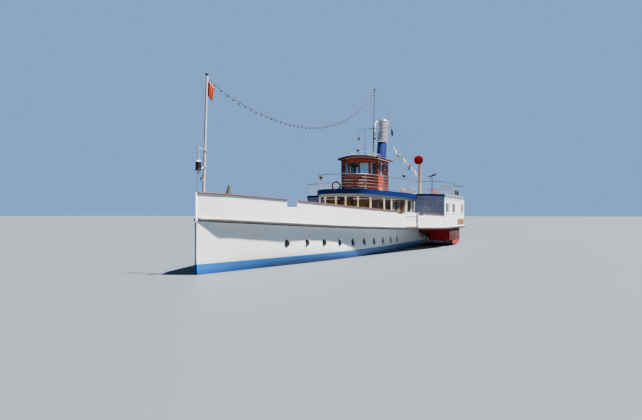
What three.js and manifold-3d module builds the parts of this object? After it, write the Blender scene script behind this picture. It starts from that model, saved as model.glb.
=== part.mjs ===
// Side-wheel lake steamer, afloat, built as a half-size model.
// Every size below is the full-size ship's, in millimetres, and the finished group is scaled once.
// Axes: +X forward, +Y to port, +Z up. The origin is amidships on the centreline, at the waterline.
// A place is written [s, p, z]: s is the distance aft of the stem, p the distance to port.

import * as THREE from "three";
import { mergeVertices } from "three/addons/utils/BufferGeometryUtils.js";
import Module from "manifold-3d";

const wasm = await Module();
wasm.setup();

// Driving sizes

const MODEL_SCALE = 1 / 2;
const LENGTH = 48000;
const HALF_BEAM = 5350;
const DRAFT = 1250;
const HIGH = 20000;
const LOW = -3000;
const WIDE = 7000;

// Clearances: at a seat, round a moving door, and how far joined pieces run into each other
const SEAT_GAP = 0.8;
const DOOR_GAP = 14;
const BITE = 10;

// Main deck: underside height along the ship (s, z), thickness, the sections it is laid in,
// and half-width of its edge (s, p)
const DECK_THICK = 120;
const SHEER = [
  [-500, 2150], [0, 2150], [3000, 2000], [6000, 1865], [9000, 1740], [12000, 1630], [15000, 1535],
  [20000, 1413], [23600, 1354], [34000, 1330], [39000, 1370], [44000, 1470], [48000, 1600], [48500, 1600],
];
const SPONSON_FRONT = 23600;
const SPONSON_BACK = 32300;
const DECK_SECTIONS = {
  fore: [-500, 15000], waist: [15000, SPONSON_FRONT], sponson: [SPONSON_FRONT, 39000], aft: [39000, 48500],
};
const DECK_EDGE = [
  [160, 165], [1200, 620], [3000, 1120], [5000, 1620], [SPONSON_FRONT, HALF_BEAM],
  [SPONSON_BACK, HALF_BEAM], [35500, 4400], [39000, 3950], [43000, 3300], [45500, 2550],
  [47200, 1450], [LENGTH, 350],
];

// Hull sections: s, half-beam at the boot-top, half-beam at the deck, keel depth, fullness below
const BOOT_TOP = 420;
const HULL_HALF_BEAM = 2950;
const STERNPOST = 44900;
const HULL_JOINT = 10500;
const HULL_FORM = [
  [0, 70, 72, -1100, 0], [1200, 360, 380, -1200, 0], [3000, 820, 820, -DRAFT, 0.15],
  [5000, 1300, 1260, -DRAFT, 0.3], [7500, 1870, 1760, -DRAFT, 0.5], [10500, 2420, 2270, -DRAFT, 0.7],
  [14000, 2760, 2650, -DRAFT, 0.85], [18000, HULL_HALF_BEAM, HULL_HALF_BEAM, -DRAFT, 1],
  [32000, HULL_HALF_BEAM, HULL_HALF_BEAM, -DRAFT, 1], [37000, 2750, 2850, -DRAFT, 0.8],
  [41000, 2150, 2600, -DRAFT, 0.4],
];

// Machinery: well in the hull, paddle shaft, boiler and engine
const SHAFT_S = 27950;
const SHAFT_Z = 800;
const SHAFT_RADIUS = 140;
const WELL = { s: [22300, 32800], p: 1700, floor: -900 };

// Paddle wheels
const WHEEL_RADIUS = 1550;
const WHEEL_INNER = 3100;
const WHEEL_OUTER = 4980;
const FLOAT_COUNT = 8;

// Bulwark: top of the cap (s, z), plating and cap sizes, gangway gate
const CAP_HEIGHT = [
  [-500, 3300], [0, 3300], [6000, 3055], [12000, 2790], [15000, 2665], [20000, 2483],
  [SPONSON_FRONT, 2374], [34000, 2350], [39000, 2400], [44000, 2510], [48000, 2650], [48500, 2650],
];
const PLATE_INSET = 20;
const PLATE_THICK = 80;
const CAP = { out: -15, inn: 130, thick: 60 };
const GATE = { from: 17350, to: 19250, inset: 165, thick: 50, lap: 40, foot: 100 };

// Notches for mooring lines: s from, s to, depth below the cap
const FAIRLEADS = [[5050, 5900, 400], [16200, 17200, 250], [19350, 20200, 250], [42200, 43000, 300]];

// Sun deck: centreline top height (s, z), camber at the full half-beam, thickness and outline
const SUN_SHEER = [
  [14500, 4075], [17000, 4000], [20000, 3910], [SPONSON_FRONT, 3850], [34000, 3850], [38000, 3890],
  [43200, 4000],
];
const SUN_CAMBER = 100;
const SUN_THICK = 240;
const SUN_FRONT = [
  [16480, 345], [16640, 1180], [17290, 1860], [18620, 2400], [19430, 2670], [21470, 3200],
  [SPONSON_FRONT, 3300],
];
const SUN_STERN = [[SPONSON_BACK, 3400], [39000, 3300], [41300, 2900], [42300, 1900], [42600, 600]];
const HEADER_DROP = 240;
const PILLAR_INSET = 120;

// Saloon under the sun deck
const WALL = 80;
const SALOON_HALF = 3000;
const SALOON = { front: 17600, frontHalf: 1300, knee: [18200, 1900], shoulder: 21400, back: 41000 };
const DOOR_WIDTH = 800;
const DOOR_HEIGHT = 1850;
const DOOR_THICK = 50;
const DOOR_STILE = 150;
const SILL = 60;
const PIN = { radius: 20, clear: 8 };

// Wheelhouse on the sun deck
const HOUSE = { front: 20300, corner: 20520, back: 23200, half: 1300, wall: 60 };
const HOUSE_WINDOWS = [5180, 5980];
const HOUSE_ROOF = { crown: 6520, eave: 6320, half: 1560, front: 19980, back: 23520, thick: 90 };
const HOUSE_DOOR = [22050, 22800];

// Masts, funnel and ventilators
const FUNNEL = { foot: [25100, 0, 3900], top: [26400, 0, 9750], radius: 360, sleeve: 405, band: 8000 };
const CASING = { s: [24300, 26150], half: 700, rise: 260 };
const MAIN_MAST = { foot: [23500, 0, 3700], top: [24000, 0, 11770] };
const BOW_MAST = { foot: [500, 0, 2100], top: [800, 0, 8080] };
const VENT = { s: 30200, behind: 60, p: 2000, z: 6900, pipe: 140, mouth: 390, foot: 4000, collar: 200 };
const STAIR = { s: [33500, 36300], half: 500 };

// Finishes

const paint = (color, roughness, metalness = 0) =>
  new THREE.MeshStandardMaterial({ color, roughness, metalness });
const WHITE = paint(0xe4e6e8, 0.4);
const SHADE_WHITE = paint(0xc9ced2, 0.5);
const NAVY = paint(0x16306b, 0.45);
const RED = paint(0x9c1a14, 0.55);
const TEAK = paint(0x9a7b55, 0.7);
const MAHOGANY = paint(0x7a2a14, 0.35);
const SILVER = paint(0xc7ccd3, 0.3, 0.8);
const BLACK = paint(0x17181b, 0.5);
const IRON = paint(0x3b3f44, 0.6, 0.4);
const CANVAS = paint(0x8e9299, 0.9);

// Shape helpers: three.js makes each shape, and the solids library only joins and cuts

const along = (s) => LENGTH / 2 - s;

function toSolid(geometry) {
  const bare = geometry.clone();
  bare.deleteAttribute("normal");
  bare.deleteAttribute("uv");
  const merged = mergeVertices(bare, 1e-3);
  const vertProperties = new Float32Array(merged.attributes.position.array);
  const triVerts = new Uint32Array(merged.index.array);
  return new wasm.Manifold(new wasm.Mesh({ numProp: 3, vertProperties, triVerts }));
}

function toGeometry(solid) {
  const mesh = solid.getMesh();
  const geometry = new THREE.BufferGeometry();
  geometry.setAttribute("position", new THREE.BufferAttribute(mesh.vertProperties.slice(), 3));
  geometry.setIndex(new THREE.BufferAttribute(mesh.triVerts.slice(), 1));
  geometry.computeVertexNormals();
  return geometry;
}

const join = (solids) => solids.reduce((whole, solid) => whole.add(solid));
const cut = (solid, tools) => tools.reduce((rest, tool) => rest.subtract(tool), solid);

function box(s, p, z) {
  const geometry = new THREE.BoxGeometry(s[1] - s[0], p[1] - p[0], z[1] - z[0]);
  geometry.translate(along((s[0] + s[1]) / 2), (p[0] + p[1]) / 2, (z[0] + z[1]) / 2);
  return toSolid(geometry);
}

// Round or many-sided bar from one place to another, its corners turned by an angle
function rod(from, to, radius, sides = 8, endRadius = radius, turned = 0) {
  const a = new THREE.Vector3(along(from[0]), from[1], from[2]);
  const b = new THREE.Vector3(along(to[0]), to[1], to[2]);
  const way = b.clone().sub(a);
  const geometry = new THREE.CylinderGeometry(endRadius, radius, way.length(), sides, 1, false, turned);
  const turn = new THREE.Quaternion().setFromUnitVectors(new THREE.Vector3(0, 1, 0), way.normalize());
  geometry.applyQuaternion(turn);
  geometry.translate((a.x + b.x) / 2, (a.y + b.y) / 2, (a.z + b.z) / 2);
  return toSolid(geometry);
}

// Everything between two distances aft of the stem, and between two from the centreline
const zone = (s, p = [-WIDE, WIDE]) => box(s, p, [LOW, HIGH]);

// Running bore for a shaft: its flats clear the shaft's corners all the way round
const SIDES = 16;
function bore(from, to, shaftRadius) {
  const radius = (shaftRadius + SEAT_GAP) / Math.cos(Math.PI / SIDES);
  return rod(from, to, radius, SIDES, radius, Math.PI / SIDES);
}

// Flat outline pushed along one of the ship's axes: "up" takes [s, p], "across" takes [s, z]
function prism(outline, direction, from, to) {
  const shape = new THREE.Shape(outline.map(([s, q]) => new THREE.Vector2(along(s), q)));
  const geometry = new THREE.ExtrudeGeometry(shape, { depth: to - from, bevelEnabled: false });
  if (direction === "across") {
    geometry.rotateX(Math.PI / 2);
    geometry.translate(0, to, 0);
  } else {
    geometry.translate(0, 0, from);
  }
  return toSolid(geometry);
}

// Closed body between two heights that vary over a grid of stations and columns
function slab(grid, low, high) {
  const { stations, columns } = grid;
  const position = [];
  for (const height of [low, high]) {
    for (const s of stations) {
      for (const p of columns) position.push(along(s), p, height(s, p));
    }
  }
  const last = { i: stations.length - 1, j: columns.length - 1 };
  const at = (level, i, j) => (level * stations.length + i) * columns.length + j;
  const index = [];
  const quad = (a, b, c, d) => index.push(a, b, c, a, c, d);
  for (let i = 0; i < last.i; i += 1) {
    for (let j = 0; j < last.j; j += 1) {
      quad(at(1, i, j), at(1, i, j + 1), at(1, i + 1, j + 1), at(1, i + 1, j));
      index.push(at(0, i, j), at(0, i + 1, j + 1), at(0, i, j + 1));
      index.push(at(0, i, j), at(0, i + 1, j), at(0, i + 1, j + 1));
    }
    quad(at(0, i + 1, 0), at(0, i, 0), at(1, i, 0), at(1, i + 1, 0));
    quad(at(0, i, last.j), at(0, i + 1, last.j), at(1, i + 1, last.j), at(1, i, last.j));
  }
  for (let j = 0; j < last.j; j += 1) {
    quad(at(0, 0, j), at(0, 0, j + 1), at(1, 0, j + 1), at(1, 0, j));
    quad(at(0, last.i, j + 1), at(0, last.i, j), at(1, last.i, j), at(1, last.i, j + 1));
  }
  const geometry = new THREE.BufferGeometry();
  geometry.setAttribute("position", new THREE.Float32BufferAttribute(position, 3));
  geometry.setIndex(index);
  return toSolid(geometry);
}

// Value of a table's column at a distance s, in straight runs between its rows
function follow(table, s, column = 1) {
  const last = table.length - 1;
  if (s <= table[0][0]) return table[0][column];
  if (s >= table[last][0]) return table[last][column];
  const i = table.findIndex((row) => row[0] > s);
  const [a, b] = [table[i - 1], table[i]];
  return a[column] + ((b[column] - a[column]) * (s - a[0])) / (b[0] - a[0]);
}

const mirrored = (points) => points.map(([s, p]) => [s, -p]).reverse();
const mirror = (solid) => solid.mirror([0, 1, 0]);

// Part of a path between two distances
function stretch(path, from, to) {
  const inside = path.filter(([s]) => s > from && s < to);
  return [[from, follow(path, from)], ...inside, [to, follow(path, to)]];
}

// Path moved sideways; a port path that runs aft moves towards the centreline
function offset(path, distance) {
  const normals = path.slice(1).map(([s, p], i) => {
    const way = [s - path[i][0], p - path[i][1]];
    const length = Math.hypot(way[0], way[1]);
    return [way[1] / length, -way[0] / length];
  });
  return path.map(([s, p], i) => {
    const a = normals[Math.max(i - 1, 0)];
    const b = normals[Math.min(i, normals.length - 1)];
    const k = distance / (1 + a[0] * b[0] + a[1] * b[1]);
    return [s + (a[0] + b[0]) * k, p + (a[1] + b[1]) * k];
  });
}

const band = (path, outer, inner) =>
  prism([...offset(path, outer), ...offset(path, inner).reverse()], "up", LOW, HIGH);

// Deck surfaces, and the cutters that seat a piece on, or hang it under, a deck

const mainBottom = (s) => follow(SHEER, s);
const mainTop = (s) => mainBottom(s) + DECK_THICK;
const sunTop = (s, p) => follow(SUN_SHEER, s) - SUN_CAMBER * (p / HALF_BEAM) ** 2;
const sunBottom = (s, p) => sunTop(s, p) - SUN_THICK;
const mainGrid = { stations: SHEER.map(([s]) => s), columns: [-WIDE, WIDE] };
const sunGrid = { stations: SUN_SHEER.map(([s]) => s), columns: [-6000, -4000, -2000, 0, 2000, 4000, 6000] };
const capGrid = { stations: CAP_HEIGHT.map(([s]) => s), columns: [-WIDE, WIDE] };

const belowMain = slab(mainGrid, () => LOW - 500, (s) => mainTop(s) + SEAT_GAP);
const aboveHull = slab(mainGrid, (s) => mainBottom(s) - SEAT_GAP, () => HIGH + 500);
const belowSun = slab(sunGrid, () => LOW - 500, (s, p) => sunTop(s, p) + SEAT_GAP);
const aboveRooms = slab(sunGrid, (s, p) => sunBottom(s, p) - SEAT_GAP, () => HIGH + 500);
const onMain = (solid) => solid.subtract(belowMain);
const onSun = (solid) => solid.subtract(belowSun);
const betweenDecks = (solid) => cut(solid, [belowMain, aboveRooms]);

const sternEdge = stretch(DECK_EDGE, SPONSON_BACK, LENGTH);
const deckOutline = [...DECK_EDGE, ...mirrored(DECK_EDGE)];
const sunEdge = [...SUN_FRONT, [SPONSON_FRONT, HALF_BEAM], [SPONSON_BACK, HALF_BEAM], ...SUN_STERN];
const sunOutline = [...sunEdge, ...mirrored(sunEdge)];

// The ship, with one mesh for each piece

const ship = new THREE.Group();

function part(name, solid, material) {
  const mesh = new THREE.Mesh(toGeometry(solid), material);
  mesh.name = name;
  ship.add(mesh);
}

function pair(name, portSolid, material) {
  part(`${name}_port`, portSolid, material);
  part(`${name}_starboard`, mirror(portSolid), material);
}

// Hull: lofted shell form, with the stem bar, the counter over the rudder and the machinery well

function hullRing(s, boot, deck, keel, full) {
  const port = [
    [60 + 0.5 * full * boot, keel],
    [60 + boot * (0.24 + 0.66 * full), keel + 200],
    [60 + boot * (0.62 + 0.35 * full), -350],
    [boot, BOOT_TOP],
    [deck, mainBottom(s) + 300],
  ];
  return [...port, ...mirrored(port.map(([p, z]) => [z, p])).map(([z, p]) => [p, z])];
}

// Sections of the stern, port side: half-beam and height from the bottom up
const STERN_FORM = [
  [STERNPOST, [[80, -1200], [80, -700], [90, -60], [900, 450], [2050, 1800]]],
  [STERNPOST + 10, [[60, 20], [160, 40], [420, 130], [900, 450], [2050, 1800]]],
  [46300, [[60, 430], [260, 480], [700, 640], [1050, 850], [1500, 1850]]],
  [47500, [[40, 1050], [160, 1080], [420, 1150], [560, 1250], [780, 1900]]],
];

function loft(sections) {
  const position = sections.flatMap(([s, ring]) => ring.flatMap(([p, z]) => [along(s), p, z]));
  const count = sections[0][1].length;
  const index = [];
  for (let i = 0; i < sections.length - 1; i += 1) {
    for (let k = 0; k < count; k += 1) {
      const next = (k + 1) % count;
      const [a, b, c, d] = [i * count + k, i * count + next, (i + 1) * count + next, (i + 1) * count + k];
      index.push(a, d, c, a, c, b);
    }
  }
  const cap = (ring) =>
    THREE.ShapeUtils.triangulateShape(ring.map(([p, z]) => new THREE.Vector2(p, z)), []);
  const tail = (sections.length - 1) * count;
  for (const [a, b, c] of cap(sections[0][1])) index.push(a, b, c);
  for (const [a, b, c] of cap(sections[sections.length - 1][1])) index.push(tail + a, tail + c, tail + b);
  const geometry = new THREE.BufferGeometry();
  geometry.setAttribute("position", new THREE.Float32BufferAttribute(position, 3));
  geometry.setIndex(index);
  return toSolid(geometry);
}

const bothSides = (port) => [...port, ...port.map(([p, z]) => [-p, z]).reverse()];
const hullSections = [
  ...HULL_FORM.map(([s, ...form]) => [s, hullRing(s, ...form)]),
  ...STERN_FORM.map(([s, port]) => [s, bothSides(port)]),
];
const STEM = { half: 70, depth: 150, foot: -1100, top: 3320 };
const HATCH = { s: [7000, 8100], half: 500, floor: 900 };
const RUDDER_STOCK = { s: 45200, radius: 70, foot: -1000, top: 1000 };

const BOILER = { s: [22700, 26900], half: 1300, top: 950 };
const ENGINE = { s: [28600, 32400], half: 1100, top: 850 };
const STEAM_PIPE = { z: 0, radius: 120 };

const stemBar = box([0, STEM.depth], [-STEM.half, STEM.half], [STEM.foot, STEM.top]);
const machineryWell = box(WELL.s, [-WELL.p, WELL.p], [WELL.floor, HIGH]);
const tunnelHalf = HULL_HALF_BEAM + 1000;
const shaftTunnel = rod(
  [SHAFT_S, -tunnelHalf, SHAFT_Z], [SHAFT_S, tunnelHalf, SHAFT_Z], SHAFT_RADIUS + 50, SIDES,
);
const hatchWell = box(HATCH.s, [-HATCH.half, HATCH.half], [HATCH.floor, HIGH]);
const stockBore = bore(
  [RUDDER_STOCK.s, 0, LOW], [RUDDER_STOCK.s, 0, RUDDER_STOCK.top + SEAT_GAP], RUDDER_STOCK.radius,
);
const hullBody = cut(loft(hullSections), [aboveHull, machineryWell, shaftTunnel, hatchWell, stockBore]);
part("hull_bow", hullBody.add(stemBar).intersect(zone([-500, HULL_JOINT - SEAT_GAP])), WHITE);
part("hull", hullBody.intersect(zone([HULL_JOINT, LENGTH])), WHITE);

// Boiler and engine as plain blocks, joined by the main steam pipe under the paddle shaft
const inWell = ({ s, half, top }) => box(s, [-half, half], [WELL.floor + SEAT_GAP, top]);
const pipeEnds = [[BOILER.s[1] - BITE, 0, STEAM_PIPE.z], [ENGINE.s[0] + BITE, 0, STEAM_PIPE.z]];
const steamPipe = rod(...pipeEnds, STEAM_PIPE.radius);
part("machinery", join([inWell(BOILER), inWell(ENGINE), steamPipe]), IRON);

// Rudder: one blade on its stock, under the counter

const BLADE_HALF = 45;
const bladeOutline = [[45020, -1150], [46350, -1050], [46450, -500], [46300, -160], [45020, -160]];
const rudderStock = rod(
  [RUDDER_STOCK.s, 0, RUDDER_STOCK.foot], [RUDDER_STOCK.s, 0, RUDDER_STOCK.top], RUDDER_STOCK.radius, SIDES,
);
part("rudder", prism(bladeOutline, "across", -BLADE_HALF, BLADE_HALF).add(rudderStock), BLACK);

// Main deck: planked plate with the wheel wells, and the coaming and lid of the fore hatch

const WHEEL_WELL = { s: [26200, 29700], p: [3030, 5120] };
const COAMING = { rise: 300, thick: 60 };
const LID = { edge: 40, thick: 60 };
const wheelWell = box(WHEEL_WELL.s, WHEEL_WELL.p, [LOW, HIGH]);
const coamingTop = mainTop(HATCH.s[0]) + COAMING.rise;
const aroundHatch = (margin, z) => box(
  [HATCH.s[0] - margin, HATCH.s[1] + margin], [-HATCH.half - margin, HATCH.half + margin], z,
);
const deckPlate = slab(mainGrid, mainBottom, mainTop).intersect(prism(deckOutline, "up", LOW, HIGH));
const openDeck = cut(deckPlate, [hatchWell, wheelWell, mirror(wheelWell)]);
for (const [name, [from, to]] of Object.entries(DECK_SECTIONS)) {
  part(`main_deck_${name}`, openDeck.intersect(zone([from, to - SEAT_GAP])), TEAK);
}
const coaming = onMain(aroundHatch(COAMING.thick, [LOW, coamingTop])).subtract(hatchWell);
part("hatch_coaming", coaming, TEAK);

const lidFoot = coamingTop + SEAT_GAP;
part("fore_hatch_lid", aroundHatch(COAMING.thick + LID.edge, [lidFoot, lidFoot + LID.thick]), TEAK);

// Bulwarks: plating on the deck edge under a wooden cap, with mooring notches and gangway gates

const capTop = (s) => follow(CAP_HEIGHT, s);
function bulwark(path) {
  const plateTop = slab(capGrid, () => LOW - 200, (s) => capTop(s) - BITE);
  const capBody = slab(capGrid, (s) => capTop(s) - CAP.thick, capTop);
  const plate = band(path, PLATE_INSET, PLATE_INSET + PLATE_THICK).intersect(plateTop);
  const cap = band(path, CAP.out, CAP.inn).intersect(capBody);
  const notches = FAIRLEADS.map(([from, to, depth]) => (
    box([from, to], [-WIDE, WIDE], [capTop((from + to) / 2) - depth, HIGH])
  ));
  return onMain(cut(plate.add(cap), notches));
}

const forePath = stretch(DECK_EDGE, DECK_EDGE[0][0], GATE.from);
const midPath = stretch(DECK_EDGE, GATE.to, SPONSON_FRONT);
const midZone = zone([GATE.to - 100, SPONSON_FRONT - SEAT_GAP]);
const aftZone = zone([SPONSON_BACK + SEAT_GAP, LENGTH + 500]);
pair("bulwark_fore", bulwark(forePath).intersect(zone([0, LENGTH], [2, WIDE])), WHITE);
pair("bulwark_mid", bulwark(midPath).intersect(midZone), WHITE);
part("bulwark_aft", bulwark([...sternEdge, ...mirrored(sternEdge)]).intersect(aftZone), WHITE);

// Gates slide forward inside the bulwark on two feet
const gateBand = (from, to) => band(stretch(DECK_EDGE, from, to), GATE.inset, GATE.inset + GATE.thick);
const gateTop = slab(capGrid, () => LOW - 200, (s) => capTop(s) - CAP.thick / 2);
const gateRaise = slab(mainGrid, () => LOW - 500, (s) => mainTop(s) + DOOR_GAP);
const gatePanel = gateBand(GATE.from - GATE.lap, GATE.to + GATE.lap).intersect(gateTop).subtract(gateRaise);
const gateFeet = [GATE.from, GATE.to - GATE.foot].map((s) => {
  const aboveFoot = box([0, LENGTH], [-WIDE, WIDE], [mainTop(s) + 80, HIGH + 100]);
  return onMain(gateBand(s, s + GATE.foot).subtract(aboveFoot));
});
pair("gangway_gate", join([gatePanel, ...gateFeet]), WHITE);

// Sponson houses: outer walls flush with the bulwark, and the paddle box inside

const SPONSON_DOOR = [3950, 4650];
const SPONSON_WINDOWS = [[24150, 25250], [26750, 27850], [30750, 31700]];
const SPONSON_WINDOW_HEIGHT = [2520, 3220];
const LOUVRE = { s: [29060, 32000], z: [1600, 2020], depth: 30 };
const outerFace = HALF_BEAM - PLATE_INSET;
const innerFace = SALOON_HALF + SEAT_GAP;
const doorZ = (s) => [mainTop(s) + SILL, mainTop(s) + SILL + DOOR_HEIGHT];

const sponsonWalls = [
  box([SPONSON_FRONT, SPONSON_FRONT + WALL], [innerFace, outerFace], [LOW, HIGH]),
  box([SPONSON_BACK - WALL, SPONSON_BACK], [innerFace, outerFace], [LOW, HIGH]),
  box([SPONSON_FRONT, SPONSON_BACK], [outerFace - WALL, outerFace], [LOW, HIGH]),
];
const PADDLE_BOX = { s: [26080, 29820], top: 2480, thick: 60 };
const boxSpan = [innerFace, outerFace - WALL + BITE];
const paddleBox = [
  box([PADDLE_BOX.s[0], PADDLE_BOX.s[0] + PADDLE_BOX.thick], boxSpan, [LOW, PADDLE_BOX.top]),
  box([PADDLE_BOX.s[1] - PADDLE_BOX.thick, PADDLE_BOX.s[1]], boxSpan, [LOW, PADDLE_BOX.top]),
  box(PADDLE_BOX.s, boxSpan, [PADDLE_BOX.top - PADDLE_BOX.thick, PADDLE_BOX.top]),
];
const acrossWall = (s) => [s - WALL - 50, s + WALL + 50];
const sponsonCuts = [
  box(acrossWall(SPONSON_FRONT), SPONSON_DOOR, doorZ(SPONSON_FRONT)),
  ...SPONSON_WINDOWS.map((s) => box(s, acrossWall(outerFace), SPONSON_WINDOW_HEIGHT)),
  box(LOUVRE.s, [outerFace - LOUVRE.depth, outerFace + WALL], LOUVRE.z),
];
const sponsonHouse = cut(betweenDecks(join([...sponsonWalls, ...paddleBox])), sponsonCuts);
pair("sponson_house", sponsonHouse, WHITE);

// Hinged door in a wall across the ship: panel, window cut and pivot pin on its face
function crossDoor(face, towards, p, hingeSide, z, window) {
  const inner = face - towards * DOOR_THICK;
  const s = [Math.min(face, inner), Math.max(face, inner)];
  const edgeGap = PIN.radius + PIN.clear;
  const hingeP = hingeSide > 0 ? p[1] - edgeGap : p[0] + edgeGap;
  const panelP = hingeSide > 0 ? [p[0] + DOOR_GAP, hingeP] : [hingeP, p[1] - DOOR_GAP];
  const panel = box(s, panelP, [z[0] + DOOR_GAP, z[1] - DOOR_GAP]);
  const paneP = [p[0] + DOOR_STILE, p[1] - DOOR_STILE];
  const pane = box(acrossWall(face), paneP, [z[1] - window, z[1] - DOOR_STILE]);
  const pin = rod([face, hingeP, z[0] + SEAT_GAP], [face, hingeP, z[1] - SEAT_GAP], PIN.radius);
  return panel.subtract(pane).add(pin);
}
pair("sponson_door", crossDoor(SPONSON_FRONT, -1, SPONSON_DOOR, -1, doorZ(SPONSON_FRONT), 800), WHITE);

// Sponson frames under the guard, which carry the outer shaft bearings

const ARM = { at: [25750, 29950], wide: 200, z: [1000, 1400] };
const BEAM = { p: [5120, 5300], bearing: [27700, 28200], foot: 520 };
const SKIRT = { z: [430, ARM.z[0] + BITE], thick: 30, inner: 3800 };
const LOWER_SILL = { s: [27000, ARM.at[1] + ARM.wide], p: [5150, BEAM.p[1]], z: [180, 380], post: 150 };
const hullSide = HULL_HALF_BEAM + SEAT_GAP;
const outerBeam = box([ARM.at[0], ARM.at[1] + ARM.wide], BEAM.p, ARM.z);
const arms = ARM.at.map((s) => box([s, s + ARM.wide], [hullSide, BEAM.p[0] + BITE], ARM.z));
const bearing = box(BEAM.bearing, BEAM.p, [BEAM.foot, ARM.z[0] + BITE]);
const frameEnds = [ARM.at[0], ARM.at[1] + ARM.wide];
const skirt = [
  box(frameEnds, [BEAM.p[1] - SKIRT.thick, BEAM.p[1]], SKIRT.z),
  box([ARM.at[0], ARM.at[0] + SKIRT.thick], [SKIRT.inner, BEAM.p[1]], SKIRT.z),
];
const sillPosts = [LOWER_SILL.s[0], LOWER_SILL.s[1] - LOWER_SILL.post].map((s) => (
  box([s, s + LOWER_SILL.post], LOWER_SILL.p, [LOWER_SILL.z[0], ARM.z[0] + BITE])
));
const lowerSill = [box(LOWER_SILL.s, LOWER_SILL.p, LOWER_SILL.z), ...sillPosts];
const bearingBore = bore(
  [SHAFT_S, BEAM.p[0] - 100, SHAFT_Z], [SHAFT_S, BEAM.p[1] + 100, SHAFT_Z], SHAFT_RADIUS,
);
const frameBody = join([outerBeam, ...arms, bearing, ...skirt, ...lowerSill]);
pair("sponson_frame", cut(frameBody, [bearingBore, aboveHull]), RED);

// Paddle wheels: hub, two spoked rings and the floats across them

const RING = { outer: 1400, inner: 1290, thick: 60, inset: 260 };
const SPOKE = { wide: 50, deep: 70 };
const HUB = { radius: 300, inset: 100 };
const FLOAT = { from: 1020, thick: 55 };

function paddleWheel() {
  const ringPoints = [
    [RING.inner, -RING.thick / 2], [RING.outer, -RING.thick / 2], [RING.outer, RING.thick / 2],
    [RING.inner, RING.thick / 2], [RING.inner, -RING.thick / 2],
  ].map(([r, h]) => new THREE.Vector2(r, h));
  const pieces = [];
  for (const p of [WHEEL_INNER + RING.inset, WHEEL_OUTER - RING.inset]) {
    const ring = new THREE.LatheGeometry(ringPoints, 16);
    pieces.push(toSolid(ring.translate(0, p, 0)));
    for (let k = 0; k < FLOAT_COUNT; k += 1) {
      const reach = RING.inner + RING.thick / 2;
      const spoke = new THREE.BoxGeometry(reach, SPOKE.wide, SPOKE.deep);
      spoke.translate(reach / 2, p, 0);
      spoke.rotateY((2 * Math.PI * k) / FLOAT_COUNT);
      pieces.push(toSolid(spoke));
    }
  }
  for (let k = 0; k < FLOAT_COUNT; k += 1) {
    const board = new THREE.BoxGeometry(WHEEL_RADIUS - FLOAT.from, WHEEL_OUTER - WHEEL_INNER, FLOAT.thick);
    board.translate((WHEEL_RADIUS + FLOAT.from) / 2, (WHEEL_OUTER + WHEEL_INNER) / 2, 0);
    board.rotateY((2 * Math.PI * k) / FLOAT_COUNT);
    pieces.push(toSolid(board));
  }
  const wheel = join(pieces).translate([along(SHAFT_S), 0, SHAFT_Z]);
  const onShaft = (from, to, radius) => rod([SHAFT_S, from, SHAFT_Z], [SHAFT_S, to, SHAFT_Z], radius, SIDES);
  const hub = onShaft(WHEEL_INNER + HUB.inset, WHEEL_OUTER - HUB.inset, HUB.radius);
  const keyed = onShaft(WHEEL_INNER - HUB.inset, WHEEL_OUTER + HUB.inset, SHAFT_RADIUS + 1);
  return wheel.add(hub).subtract(keyed);
}
pair("paddle_wheel", paddleWheel(), RED);

const shaftEnd = BEAM.p[1] - 20;
const shaft = rod([SHAFT_S, -shaftEnd, SHAFT_Z], [SHAFT_S, shaftEnd, SHAFT_Z], SHAFT_RADIUS, SIDES);
part("paddle_shaft", shaft, IRON);

// Saloon: front round a shoulder on each side, long side walls and an aft wall

const WINDOW_Z = [2280, 3300];
const SIDE_WINDOWS = { width: 1250, pitch: 1600, fore: [21750, 1], aft: [32900, 5] };
const portFront = [[SALOON.shoulder, SALOON_HALF], SALOON.knee, [SALOON.front, SALOON.frontHalf]];
const frontPath = [...portFront, ...mirrored(portFront)];
const saloonDoor = [-DOOR_WIDTH / 2, DOOR_WIDTH / 2];
const FRONT_WINDOW = [520, 1220];
const KNEE_WINDOWS = [[17720, 18080], [18500, 19600], [19850, 21050]];
const frontPanes = [
  box(acrossWall(SALOON.front), FRONT_WINDOW, WINDOW_Z),
  ...KNEE_WINDOWS.map((s) => box(s, [SALOON.frontHalf, SALOON_HALF], WINDOW_Z)),
];
const frontCuts = [
  ...frontPanes, ...frontPanes.map(mirror), box(acrossWall(SALOON.front), saloonDoor, doorZ(SALOON.front)),
];
const frontBody = betweenDecks(band(frontPath, 0, -WALL)).intersect(zone([0, SALOON.shoulder]));
part("saloon_front", cut(frontBody, frontCuts), WHITE);

const sideWall = box(
  [SALOON.shoulder + SEAT_GAP, SALOON.back], [SALOON_HALF - WALL, SALOON_HALF], [LOW, HIGH],
);
const sidePanes = [SIDE_WINDOWS.fore, SIDE_WINDOWS.aft].flatMap(([start, count]) =>
  Array.from({ length: count }, (_, k) => {
    const s = start + k * SIDE_WINDOWS.pitch;
    return box([s, s + SIDE_WINDOWS.width], acrossWall(SALOON_HALF), WINDOW_Z);
  }));
pair("saloon_side", cut(betweenDecks(sideWall), sidePanes), WHITE);

const aftSpan = SALOON_HALF - WALL - SEAT_GAP;
const aftWall = box([SALOON.back - WALL, SALOON.back], [-aftSpan, aftSpan], [LOW, HIGH]);
const aftPane = box(acrossWall(SALOON.back), [800, 2300], WINDOW_Z);
const aftDoorway = box(acrossWall(SALOON.back), saloonDoor, doorZ(SALOON.back));
part("saloon_aft", cut(betweenDecks(aftWall), [aftPane, mirror(aftPane), aftDoorway]), WHITE);
part("saloon_front_door", crossDoor(SALOON.front, -1, saloonDoor, 1, doorZ(SALOON.front), 900), MAHOGANY);
part("saloon_aft_door", crossDoor(SALOON.back, 1, saloonDoor, 1, doorZ(SALOON.back), 900), MAHOGANY);

// Pillars round the front of the sun deck, under a continuous header

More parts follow.
